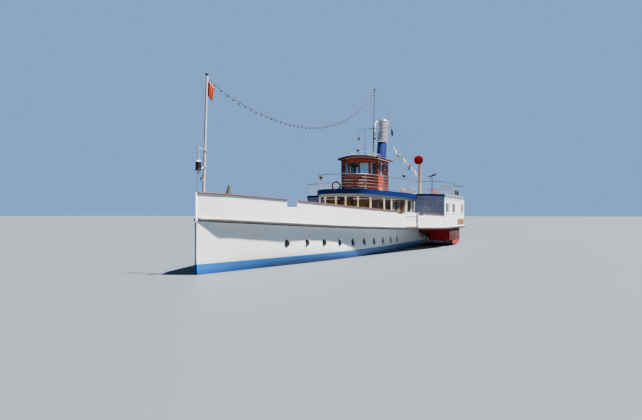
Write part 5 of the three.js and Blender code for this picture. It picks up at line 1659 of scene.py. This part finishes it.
MAIN_MAST = ((23500, 0, 3700), (24000, 0, 11770))
BOW_MAST = ((500, 0, 2100), (800, 0, 8080))
YARD = (8850, 1450)
MAST_TRUCK = [(8, 0), (42, 0), (62, 20), (72, 54), (62, 88), (38, 108), (8, 114)]
BELL = [
    (6, 0), (34, -6), (50, -30), (58, -90), (76, -140), (92, -160), (86, -162), (52, -96), (44, -34),
    (6, -20),
]


def on_mast(mast, z):
    """Where a mast's centreline is at a height."""
    foot, top = Vector(mast[0]), Vector(mast[1])
    return foot.lerp(top, (z - foot.z) / (top.z - foot.z))


def mast_length(mast):
    return (Vector(mast[1]) - Vector(mast[0])).length


def add_lug(bm, z, ends):
    """A flat lug, from pairs of a distance aft of the stem and half its height there."""
    add_skin(bm, [[(s, -15, z - tall), (s, 15, z - tall), (s, 15, z + tall), (s, -15, z + tall)]
                  for s, tall in ends])


mast_paint = worn_finish("mast_paint", (0.42, 0.42, 0.46), (0.3, 0.3, 0.33), (0.35, 0.55), size=2)
# A darker copy of the mast paint for the main mast and yard: painted shade.
mast_painted_shade = worn_finish("mast_painted_shade", (0.1, 0.11, 0.13), (0.06, 0.065, 0.075), (0.4, 0.6), size=2)
yard_at = on_mast(MAIN_MAST, YARD[0])
mast_long = mast_length(MAIN_MAST)
add_turned(bm, *MAIN_MAST, [
    (80, 0), (80, 200), (104, 204), (104, 236), (76, 244), (58, mast_long * 0.62), (70, mast_long * 0.63),
    (70, mast_long * 0.65), (44, mast_long * 0.66), (28, mast_long - 6), (20, mast_long)], 20)
for side in (1, -1):
    tip = (yard_at.x, side * YARD[1], YARD[0])
    add_turned(bm, (yard_at.x, 0, YARD[0]), tip, [
        (28, 0), (28, 500), (20, 1400), (26, 1404), (26, 1440), (12, 1450)], 14)
add_lug(bm, 11500, [(23863, 60), (23973, 60), (23993, 44)])
fit(bm, "main_mast_and_yard", mast_painted_shade, "mast_paint", "main_mast")

mast_long = mast_length(BOW_MAST)
add_turned(bm, *BOW_MAST, [
    (66, 0), (66, 150), (90, 154), (90, 190), (62, 200), (44, mast_long - 4), (28, mast_long)], 18)
bow_lug = on_mast(BOW_MAST, 7950).x
add_lug(bm, 7950, [(bow_lug - 10, 60), (bow_lug + 120, 60)])
add_tube(bm, [on_mast(BOW_MAST, 5000), (150, 0, 5060)], 26, 12)
add_tube(bm, [on_mast(BOW_MAST, 4350), (150, 0, 4050)], 26, 12)
add_tube(bm, [(190, 0, 3990), (190, 0, 5080)], 22, 12)
for z in (4350, 5000):
    add_hoop(bm, on_mast(BOW_MAST, z), (0, 0, 1), 66, [(-6, -45), (10, -45), (10, 45), (-6, 45)], 24)
fit(bm, "bow_mast_and_bracket", mast_paint, "mast_paint", "bow_mast")

for mast in (MAIN_MAST, BOW_MAST):
    top = Vector(mast[1])
    add_upright(bm, top - Vector((0, 0, 8)), MAST_TRUCK, 18)
fitting = on_mast(MAIN_MAST, 8060)
add_ball(bm, fitting.x - 150, 110, 8060, 125)
add_tube(bm, [fitting, (fitting.x - 150, 110, 8060)], 18, 8)
add_upright(bm, (190, 0, 4160), [
    (118, 0), (132, 10), (132, 60), (120, 68), (120, 290), (134, 300), (134, 318), (112, 340)], 20)
fit(bm, "mast_trucks_and_lantern", black_paint, "black_paint")
add_upright(bm, (190, 0, 4112), [(60, 0), (110, 6), (118, 50), (40, 52)], 20)
add_upright(bm, (190, 0, 4496), [(112, 0), (112, 8), (60, 60), (30, 66), (30, 90), (12, 96)], 20)
fit(bm, "lantern_caps", mast_paint, "mast_paint")
add_upright(bm, (440, 0, 3930), BELL, 22)
add_upright(bm, (440, 0, 3800), [(5, 110), (8, 0), (18, -20), (18, -40), (5, -52)], 12)
add_tube(bm, [(585, 0, 3940), (440, 0, 3960), (440, 0, 3915)], 13, 8)
bronze = worn_finish("bronze", (0.05, 0.045, 0.05), (0.03, 0.03, 0.035), (0.4, 0.6), size=8, Metallic=0.5)
fit(bm, "ship_bell", bronze, "brass")


# Ventilators
# Two spun cowls face forward on upright pipes. They are painted grey outside and red inside
# the mouth, with a rolled rim.

COWL = [
    (0, -420), (120, -412), (205, -380), (262, -320), (305, -225), (345, -110), (372, 0), (384, 70),
    (392, 100), (404, 108), (410, 120), (404, 134), (388, 140), (374, 130), (366, 100), (352, 0),
    (322, -100), (285, -200), (235, -290), (180, -350), (100, -385), (0, -392),
]
VENT_PIPE = [
    (200, 4000), (150, 4030), (140, 4050), (140, 5400), (158, 5410), (158, 5470), (140, 5480), (140, 6660),
]
VENT_PLACE = (30260, 2000, 6900)
vent_red = worn_finish("vent_red", (0.5, 0.01, 0.03), (0.3, 0.008, 0.02), (0.4, 0.6), size=3)
cowl_bm = bmesh.new()
lining_bm = bmesh.new()
s, p, z = VENT_PLACE
add_turned(cowl_bm, (30000, p, z), (29000, p, z), COWL, 40)
inner = [(max(radius - 5, 0), height + 1) for radius, height in COWL[14:]]
add_turned(lining_bm, (30000, p, z), (29000, p, z), [*[(r + 4, h) for r, h in reversed(inner)], *inner], 40)
foot = sun_top(s, p) - 2
shaft = [(250, 0), (250, 24), (200, 34), *[(radius, height - foot) for radius, height in VENT_PIPE]]
add_upright(cowl_bm, (s, p, foot), shaft, 28)
for height in (4700, 5900):
    handle = ((130, 0), (210, 0), (210, 160), (130, 160))
    add_tube(cowl_bm, [(s - out, p, height + up) for out, up in handle], 12)
vent_grey = worn_finish("vent_grey", (0.24, 0.23, 0.24), (0.16, 0.15, 0.15), (0.35, 0.55), size=3)
fit(cowl_bm, "cowl_vents", vent_grey, "header_grey", "cowl_vent_port", "cowl_vent_starboard", both=True)
fit(lining_bm, "cowl_linings", vent_red, "red_paint", both=True)


# Stays, halyards and bunting
# Steel wire stays the main mast aft, and a wire holds the lantern bracket down to the stem. Thin
# halyards hold two small flags under the yard, and a line of square flags runs aft from the funnel.

WIRE = 8
AFT_STAY = [(24002, 0, 11700), (27800, 0, 10360), (35640, 0, 7980), (47742, 0, 4560)]
BUNTING_LINE = [(26650, 0, 8950), (29310, 0, 8040), (32000, 0, 7500), (36760, 0, 6570), (47705, 0, 4440)]
HALYARDS = [-1086, 1340]
HALYARD_TOP = (23819, 8812)
HALYARD_FOOT = 23500
BUNTING_FIRST = 29100
BUNTING_STEP = 720
BUNTING_SIZE = 440

wire_steel = worn_finish("wire_steel", (0.09, 0.09, 0.1), (0.16, 0.12, 0.09), (0.35, 0.6), size=8,
                         Metallic=0.6)
cord_line = worn_finish("halyard_line", (0.2, 0.19, 0.18), (0.12, 0.11, 0.1), (0.7, 0.9), size=8)


def run_line(name, points, finish, radius, steps=14):
    """A wire or a cord between two fixed points."""
    route = smooth_route(points, steps)
    bm = bmesh.new()
    add_tube(bm, route, radius, 8)
    line = fit(bm, name, finish, "cord_black")
    return route


run_line("aft_stay", AFT_STAY, wire_steel, WIRE)
run_line("lantern_stay", [(150, 0, 5060), (110, 0, 4200), (72, 0, 3322)],
         wire_steel, WIRE - 2)
bunting_route = run_line("bunting_line", BUNTING_LINE, cord_line, 5, 40)
for k, p in enumerate(HALYARDS):
    s, high = HALYARD_TOP
    low = roof_height(p)
    run_line("flag_halyard_%d" % k, [(s, p, high), (23660, p, (high + low) / 2), (HALYARD_FOOT, p, low)],
             cord_line, 5)


def cloth_finish(name, bands):
    """Thin woven cloth in bands of colour across its hoist, from pairs of a share and a colour."""
    material, tree, shader = new_material(name)
    spot = add_node(tree, "ShaderNodeTexCoord").outputs["UV"]
    along = add_node(tree, "ShaderNodeSeparateXYZ", {0: spot}).outputs["X"]
    colour = (*bands[0][1], 1)
    for start, tint in bands[1:]:
        colour = mix(tree, math_node(tree, "GREATER_THAN", along, start), colour, (*tint, 1))
    marks = weather(tree, 6.0, 0.3, 0.5)
    faded = mix(tree, math_node(tree, "MULTIPLY", marks["Soiled"], 0.2), colour, (0.3, 0.3, 0.3, 1))
    set_looks(shader, faded, marks["Dull"], (0.1, 0.45), (0.7, 0.95), noise(tree, spot, 260, 1), 0.3, 0.0006)
    return material


def add_cloth(name, finish, shape, columns, rows):
    """A flag from shape(along, down), with the share along the fly and down the hoist as its UV."""
    bm = bmesh.new()
    uv = bm.loops.layers.uv.new("UVMap")
    grid = [
        [bm.verts.new(shape(i / columns, j / rows)) for j in range(rows + 1)] for i in range(columns + 1)]
    for i in range(columns):
        for j in range(rows):
            corners = ((i, j), (i + 1, j), (i + 1, j + 1), (i, j + 1))
            face = bm.faces.new([grid[a][b] for a, b in corners])
            for loop, (a, b) in zip(face.loops, corners):
                loop[uv].uv = (a / columns, 1 - b / rows)
    flag = fit(bm, name, finish, "flag_cloth", sharp=80)
    thicken(flag, 3, 0)
    return flag


def limp_flag(hoist, size, gather, droop, folds, deep, way=(1, 0)):
    """The shape of a flag that hangs from its hoist in upright folds, with its fly drawn in and down."""
    long, tall = size

    def shape(along, down):
        ahead = long * gather * along * (1 - 0.25 * down)
        wave = math.sin(2 * math.pi * folds * along + 1.7 * down + 0.4 * math.sin(3 * down))
        out = deep * min(1, 5 * along) * wave * (0.75 + 0.35 * down)
        fall = droop * long * along ** 0.8 * (1 - 0.15 * down)
        spot = hoist(down)
        return (spot[0] + way[0] * ahead - way[1] * out, spot[1] + way[1] * ahead + way[0] * out,
                spot[2] - tall * down - fall)
    return shape


COLOURS = {
    "white": (0.42, 0.42, 0.42), "red": (0.3, 0.004, 0.008), "navy": (0.003, 0.006, 0.05),
    "blue": (0.003, 0.04, 0.25), "yellow": (0.6, 0.34, 0.005), "pink": (0.4, 0.02, 0.05),
    "green": (0.006, 0.1, 0.02), "black": (0.006, 0.006, 0.01),
}
BUNTING_KINDS = [
    ("black", "white"), ("pink", "white"), ("navy",), ("white", "pink"), ("green",), ("yellow",), ("blue",),
    ("white", "red"), ("navy",), ("white", "blue"), ("red", "white"), ("yellow", "navy"), ("white",),
]
line_height = [(spot.x, spot.z) for spot in bunting_route]
for k, kinds in enumerate(BUNTING_KINDS):
    start = BUNTING_FIRST + BUNTING_STEP * k
    tint = [(i / len(kinds), COLOURS[kind]) for i, kind in enumerate(kinds)]
    finish = cloth_finish("bunting_cloth_%02d" % k, tint)
    turned = 0.35 * math.sin(2.1 * k)

    def square(along, down):
        s = start + BUNTING_SIZE * 0.94 * along
        blown = BUNTING_SIZE * (0.34 * math.sin(1.3 * k + 1) * down + 0.07 * math.sin(6 * along + k) * down)
        return (s + turned * 40 * down, blown,
                follow(line_height, s) - 8 - BUNTING_SIZE * down * (0.93 - 0.04 * along))

    flag = add_cloth("bunting_flag_%02d" % k, finish, square, 10, 8)

small_cloth = cloth_finish("small_flag_cloth", [
    (0, COLOURS["red"]), (0.34, COLOURS["white"]), (0.67, COLOURS["blue"])])
navy_cloth = cloth_finish("navy_flag_cloth", [(0, (0.002, 0.004, 0.05)), (0.8, (0.004, 0.01, 0.08))])
orange_cloth = cloth_finish("orange_flag_cloth", [
    (0, (0.16, 0.012, 0.01)), (0.3, (0.62, 0.12, 0.008)), (0.75, (0.5, 0.05, 0.006))])


def on_halyard(p, top, tall):
    """The hoist of a flag that is bent on to its halyard."""
    s, high = HALYARD_TOP
    rake = (s - HALYARD_FOOT) / (high - roof_height(p))
    return lambda down: (s - (high - top + tall * down) * rake + 8, p, top)


for name, finish, hoist, size, settings, held_by in (
    ("yard_flag_small", small_cloth, on_halyard(HALYARDS[0], 8320, 300), (480, 300),
     (0.62, 0.12, 2.0, 42, (0.5, -0.86)), "flag_halyard_0"),
    ("yard_flag_navy", navy_cloth, on_halyard(HALYARDS[1], 8800, 420), (620, 420),
     (0.3, 0.36, 3.0, 48, (0.8, 0.6)), "flag_halyard_1"),
    ("bow_flag", orange_cloth, lambda down: (846 - 30 * down, 0, 7930), (900, 620),
     (0.36, 0.36, 3.5, 58, (0.85, 0.52)), "bow_mast_and_bracket"),
):
    flag = add_cloth(name, finish, limp_flag(hoist, size, *settings), 56, 16)


# Foredeck gear
# A canvas cover is drawn down over the windlass to a point. Iron bitts stand inside the mooring
# notches, and a battened teak lid with two ring handles closes the fore hatch over its coaming.

COVER = (2590, 600, 1580)
BITTS = [(5475, 1150), (42600, 2750)]
BOLLARD = [
    (95, 0), (88, 40), (84, 60), (80, 330), (86, 380), (108, 400), (112, 430), (104, 452), (70, 460),
    (6, 461),
]
HATCH = (7000, 8100, 500)
LID_TOP = 2304

canvas = worn_finish("canvas", (0.045, 0.055, 0.055), (0.03, 0.03, 0.028), (0.8, 0.95), size=2, blotches=0.6,
                     depth=0.002)
s, radius, rise = COVER
foot = deck_top(s) + PLANK_THICK
rings = []
for share in (k / 25 for k in range(26)):
    ring = []
    for turn in (2 * math.pi * j / 120 for j in range(120)):
        fold = 1 + 0.085 * (1 - share) ** 0.5 * math.sin(11 * turn + 2.2 * math.sin(2 * turn))
        slack = 0.02 * math.sin(5 * turn + 9 * share) * math.sin(math.pi * share)
        reach = (28 + (radius - 60) * (1 - share) ** 1.12) * (fold + slack)
        ring.append((s + reach * math.cos(turn), reach * math.sin(turn), foot + 12 + (rise - 30) * share))
    rings.append(ring)
add_skin(bm, rings, foot=False)
cover = fit(bm, "windlass_canvas", canvas, "canvas", "windlass_cover", sharp=80)
thicken(cover, 5, 1)
iron_paint = worn_finish("iron_paint", (0.045, 0.048, 0.052), (0.14, 0.08, 0.05), (0.4, 0.7), size=4)
for s, p in BITTS:
    foot = deck_top(s)
    add_skin(bm, [[(s + a * (350 - less), p + b * (130 - less), z)
                   for a, b in ((-1, -1), (1, -1), (1, 1), (-1, 1))]
                  for z, less in ((foot + 4, 0), (foot + 36, 0), (foot + 44, 10))])
    for at in (s - 200, s + 200):
        add_upright(bm, (at, p, foot + 20), BOLLARD, 24)
    for at, side in ((a, b) for a in (-320, 0, 320) for b in (-95, 95)):
        add_upright(bm, (s + at, p + side, foot + 40), [(16, 0), (16, 14), (10, 18)], 6)
fit(bm, "bitts", iron_paint, "machine_iron", "bitts_fore_port", "bitts_fore_starboard", "bitts_aft_port",
    "bitts_aft_starboard", both=True)

lid_teak = plank_finish("lid_teak", (0.36, 0.2, 0.1), (0.2, 0.1, 0.05), (0.02, 0.015, 0.01), 0.09, gap=0.04)
set_finish(lid_teak, "hatch_coaming", "fore_hatch_lid")
first, last, half = HATCH
for s in (first + 60, (first + last) / 2, last - 60):
    add_skin(bm, [[(s - 45, side, LID_TOP - 2), (s - 38, side, LID_TOP + 16), (s + 38, side, LID_TOP + 16),
                   (s + 45, side, LID_TOP - 2)] for side in (-half - 80, half + 80)])
fit(bm, "hatch_lid_battens", lid_teak, "deck_teak", on="fore_hatch_lid")
for p in (-250, 250):
    add_hoop(bm, (first + 240, p, LID_TOP + 12), (0, 0, 1), 62, [(-9, -8), (9, -8), (9, 8), (-9, 8)], 24)
    add_plate(bm, lambda a, b, out: (b, a, LID_TOP + out),
              (p - 50, p + 50), (first + 150, first + 200), -2, 14)
    add_tube(bm, [(last + 70, p - 90, LID_TOP - 30), (last + 70, p + 90, LID_TOP - 30)], 20, 10)
fit(bm, "hatch_lid_handles", brass, "brass", on="fore_hatch_lid")
add_skin(bm, [rectangle(HATCH, z, out) for z, out in ((890, 4), (1760, 4), (1760, -6), (902, -6))])
fit(bm, "hold_lining", iron_paint, "machine_iron")


# Lamps and life ring on the sun deck
# A long dark lamp tilted on a post, black boxes for the side lights on the sides' edges, and a cork
# life ring in painted canvas, hung inside the front rail.

SIDELIGHT = (29390, 5200, 3940)
LIFE_RING = (16500, -270, 4200)
RING_SIDES = 12
LAMP_POST = (24500, 4250)
LAMP_ENDS = [(24500, 4000, 5150), (24600, 4520, 5330)]
add_upright(bm, (*LAMP_POST, sun_top(*LAMP_POST)), [
    (70, 0), (70, 16), (28, 24), (26, 1160), (44, 1170), (44, 1230), (24, 1240)], 16)
back, front = (Vector(end) for end in LAMP_ENDS)
long = (front - back).length
add_turned(bm, back, front, [
    (6, -10), (34, 0), (52, 30), (60, 120), (60, long * 0.55), (72, long * 0.62), (80, long - 20),
    (84, long), (74, long), (66, long - 50), (0, long - 54)], 28)
for side in (-1, 1):
    hinge = back.lerp(front, 0.42) + Vector((64 * side, 0, 0))
    add_tube(bm, [(LAMP_POST[0] + 66 * side, LAMP_POST[1], 5060), hinge], 12, 8)
add_tube(bm, [(LAMP_POST[0] - 70, LAMP_POST[1], 5060), (LAMP_POST[0] + 70, LAMP_POST[1], 5060)], 14, 8)
s, p, z = SIDELIGHT
for side in (1, -1):
    wall = side_wall(p, side)
    add_plate(bm, wall, (s - 180, s + 180), (z - 20, z + 370), -110, 20, 8)
    add_plate(bm, wall, (s + 150, s + 180), (z - 20, z + 370), 10, 140, 4)
    add_plate(bm, wall, (s - 180, s + 180), (z - 20, z + 10), 10, 140, 4)
    add_upright(bm, (s, side * (p + 70), z + 10), [
        (60, 0), (66, 10), (66, 60), (58, 66), (58, 230), (68, 240), (50, 290), (14, 320)], 18)
fit(bm, "deck_lamp_and_side_lights", black_paint, "black_paint")
# The lens takes the portholes' opaque near-black glass: painted shade for the lamp's dark inside.
add_turned(bm, back, front, [
    (0, long - 48), (64, long - 48), (66, long - 40), (40, long - 26), (0, long - 20)], 28)
fit(bm, "deck_lamp_lens", porthole_glass, "lamp_glass")

ring_red = worn_finish("ring_maroon", (0.035, 0.006, 0.01), (0.08, 0.03, 0.03), (0.45, 0.7), size=4)
ring_pale = worn_finish("ring_pale", (0.6, 0.46, 0.48), (0.42, 0.34, 0.33), (0.45, 0.7), size=4)
ring_turns = [2 * math.pi * k / RING_SIDES for k in range(RING_SIDES)]
add_hoop(bm, LIFE_RING, (1, 0, 0), 262, [
    (60 * math.cos(turn), 44 * math.sin(turn)) for turn in ring_turns], 48)
add_tube(bm, [Vector(LIFE_RING) + Vector((0, 0, rise)) for rise in (300, 560)], 8, 6)
fit(bm, "life_ring", ring_red, "red_paint")
add_hoop(bm, LIFE_RING, (1, 0, 0), 208, [
    (12 * math.cos(turn), 40 * math.sin(turn)) for turn in ring_turns], 48)
fit(bm, "life_ring_lining", ring_pale, "canvas")


# Benches and stair
# Slatted red-brown seats on painted iron frames. The stair has planked treads between its cheeks,
# with a round steel handrail on each side of it up to the sun deck.

BENCH = (37200, 1500, 3400)

bench_wood = plank_finish("bench_wood", (0.3, 0.07, 0.03), (0.16, 0.04, 0.02), (0.05, 0.02, 0.01), 3.0,
                          gap=0.0, rough=(0.3, 0.5), Coat_Weight=0.4)
slat_bm = bmesh.new()
leg_bm = bmesh.new()
s, p, long = BENCH
for side in (1, -1):
    for k in range(5):
        near = 60 + 74 * k
        add_lay(slat_bm, [s, s + long], lambda at: p + side * near, lambda at: p + side * (near + 60),
                lambda at: sun_top(at, p) - near * 0.05, 440, 466)
    for rise in (560, 680, 800):
        lean = (rise - 500) * 0.02
        add_skin(slat_bm, [[
            (at, p + side * (near + lean), sun_top(at, p) + rise + up)
            for near, up in ((26, -36), (50, -36), (46, 40), (24, 40))
        ] for at in (s, s + long)])
for at in (s + 330, s + 1680, s + 3030):
    z = sun_top(at, p) + 8
    for side in (1, -1):
        leg = [(400, 0), (330, 200), (390, 436), (0, 420)]
        add_tube(leg_bm, smooth_route([(at, p + side * out, z + up) for out, up in leg], 6), 17, 8)
    add_tube(leg_bm, [(at, p, z + 380), (at, p, z + 850)], 20, 8)
fit(slat_bm, "bench_slats", bench_wood, "mahogany", "bench_port", "bench_starboard", both=True, bevel=4)
fit(leg_bm, "bench_frames", iron_paint, "machine_iron", both=True)

stair_teak = plank_finish("stair_teak", (0.34, 0.19, 0.1), (0.2, 0.1, 0.05), (0.02, 0.015, 0.01), 0.4,
                          gap=0.02)
set_finish(stair_teak, "stair")
for p in (-450, 450):
    rail = [(36150, p, 1480), (36080, p, 2380), (33600, p, 4700), (33420, p, 4810), (33420, p, 3860)]
    add_tube(bm, smooth_route(rail[:4], 6) + [Vector(rail[4])], 20, 10)
    for share in (0.3, 0.6, 0.9):
        at = 36080 + (33600 - 36080) * share
        add_tube(bm, [(at, p, 2380 + 2320 * share), (at, p, 1500 + 2290 * share)], 14, 8)
for side in (-560, 560):
    add_tube(bm, [(33440, side, 3850), (33440, side, 4700), (36360, side, 4720), (36360, side, 3860)], 18, 8)
    add_tube(bm, [(33440, side, 4280), (36360, side, 4290)], 12, 8)
for z, radius in ((4720, 18), (4290, 12)):
    add_tube(bm, [(36360, -560, z), (36360, 560, z)], radius, 8)
fit(bm, "stair_rails", rail_white, "rail_paint")

foot, top = Vector((47000, 0, 1500)), Vector((47750, 0, 4600))
long = (top - foot).length
add_turned(bm, foot, top, [(60, 40), (60, 220), (48, 230), (44, 260), (30, long - 60), (46, long - 50),
                           (50, long - 20), (30, long), (8, long + 10)], 18)
fit(bm, "ensign_staff_turned", mast_paint, "mast_paint", "ensign_staff")


# Paddle wheels and their frames
# Red-painted iron: the spoked wheels are bolted to their hubs, each float is held by straps, and
# bolted plates stiffen the frame that carries the bearing. The plates on the frame's outer side are a
# much darker copy of its red: painted shade. Below deck stand the boiler and engine.

SHAFT = (27950, 800)
WHEEL_SIDES = [3360, 4720]

wheel_red = worn_finish("wheel_red", (0.24, 0.005, 0.008), (0.13, 0.008, 0.007), (0.4, 0.7), size=3,
                        blotches=0.6)
frame_red = worn_finish("frame_red", (0.42, 0.005, 0.008), (0.26, 0.007, 0.008), (0.4, 0.65), size=2,
                        blotches=0.5, Specular_IOR_Level=0.2)
set_finish(wheel_red, "paddle_wheel_port", "paddle_wheel_starboard")
set_finish(frame_red, "sponson_frame_port", "sponson_frame_starboard")
set_finish(bright_steel, "paddle_shaft")
set_finish(iron_paint, "machinery")
rudder_paint = worn_finish("rudder_paint", (0.02, 0.02, 0.022), (0.1, 0.05, 0.035), (0.5, 0.75), size=2)
set_finish(rudder_paint, "rudder")
s, z = SHAFT
for p in WHEEL_SIDES:
    centre = Vector((s, p, z))
    for out in spokes(Vector((1, 0, 0)), Vector((0, 0, 1)), 8):
        up = Vector((-out.z, 0, out.x))
        for reach in (1090, 1220, 1460):
            spot = centre + out * reach + up * 24
            add_turned(bm, spot, spot + up, [(26, 0), (26, 16), (16, 20), (16, 32)], 6)
        for flat in (-30, 30):
            rim = centre + out * 1345 + Vector((0, flat, 0)) * 1.02
            add_turned(bm, rim, rim + Vector((0, flat, 0)), [(24, -2), (24, 14), (14, 18)], 6)
for p in (3190, 4890):
    side = 1 if p > 4000 else -1
    for k in range(8):
        turn = 2 * math.pi * (k + 0.5) / 8
        spot = Vector((s + 225 * math.cos(turn), p - side * 14, z + 225 * math.sin(turn)))
        add_turned(bm, spot, spot + Vector((0, side, 0)), [(30, -4), (30, 20), (20, 26), (20, 40)], 6)
fit(bm, "paddle_wheel_bolts", wheel_red, "red_paint", on="paddle_wheels", both=True)

# A much darker copy of the frame's red for its outer side: painted shade.
frame_plate_painted_shade = worn_finish("frame_plate_painted_shade", (0.05, 0.0015, 0.002), (0.03, 0.003, 0.003), (0.6, 0.8), size=2,
                        blotches=0.5)
frame_wall = side_wall(5300)
add_plate(bm, frame_wall, (25752, 30148), (432, 1396), -2, 4)
for s in (25790, 26700, 27700, 28200, 29200, 30110):
    add_plate(bm, frame_wall, (s - 30, s + 30), (440, 1380), -2, 12)
for z in (470, 1010, 1370):
    add_plate(bm, frame_wall, (25760, 30140), (z - 20, z + 20), -2, 9)
for s in range(25900, 30100, 300):
    for z in (470, 1010):
        add_turned(bm, (s, 5306, z), (s, 5400, z), [(18, 0), (18, 8), (8, 12)], 8)
add_hoop(bm, (27950, 5304, 800), (0, 1, 0), 210, [(-40, -4), (40, -4), (40, 20), (30, 26), (-40, 26)], 32)
fit(bm, "paddle_frame_plates", frame_plate_painted_shade, "red_paint", both=True)
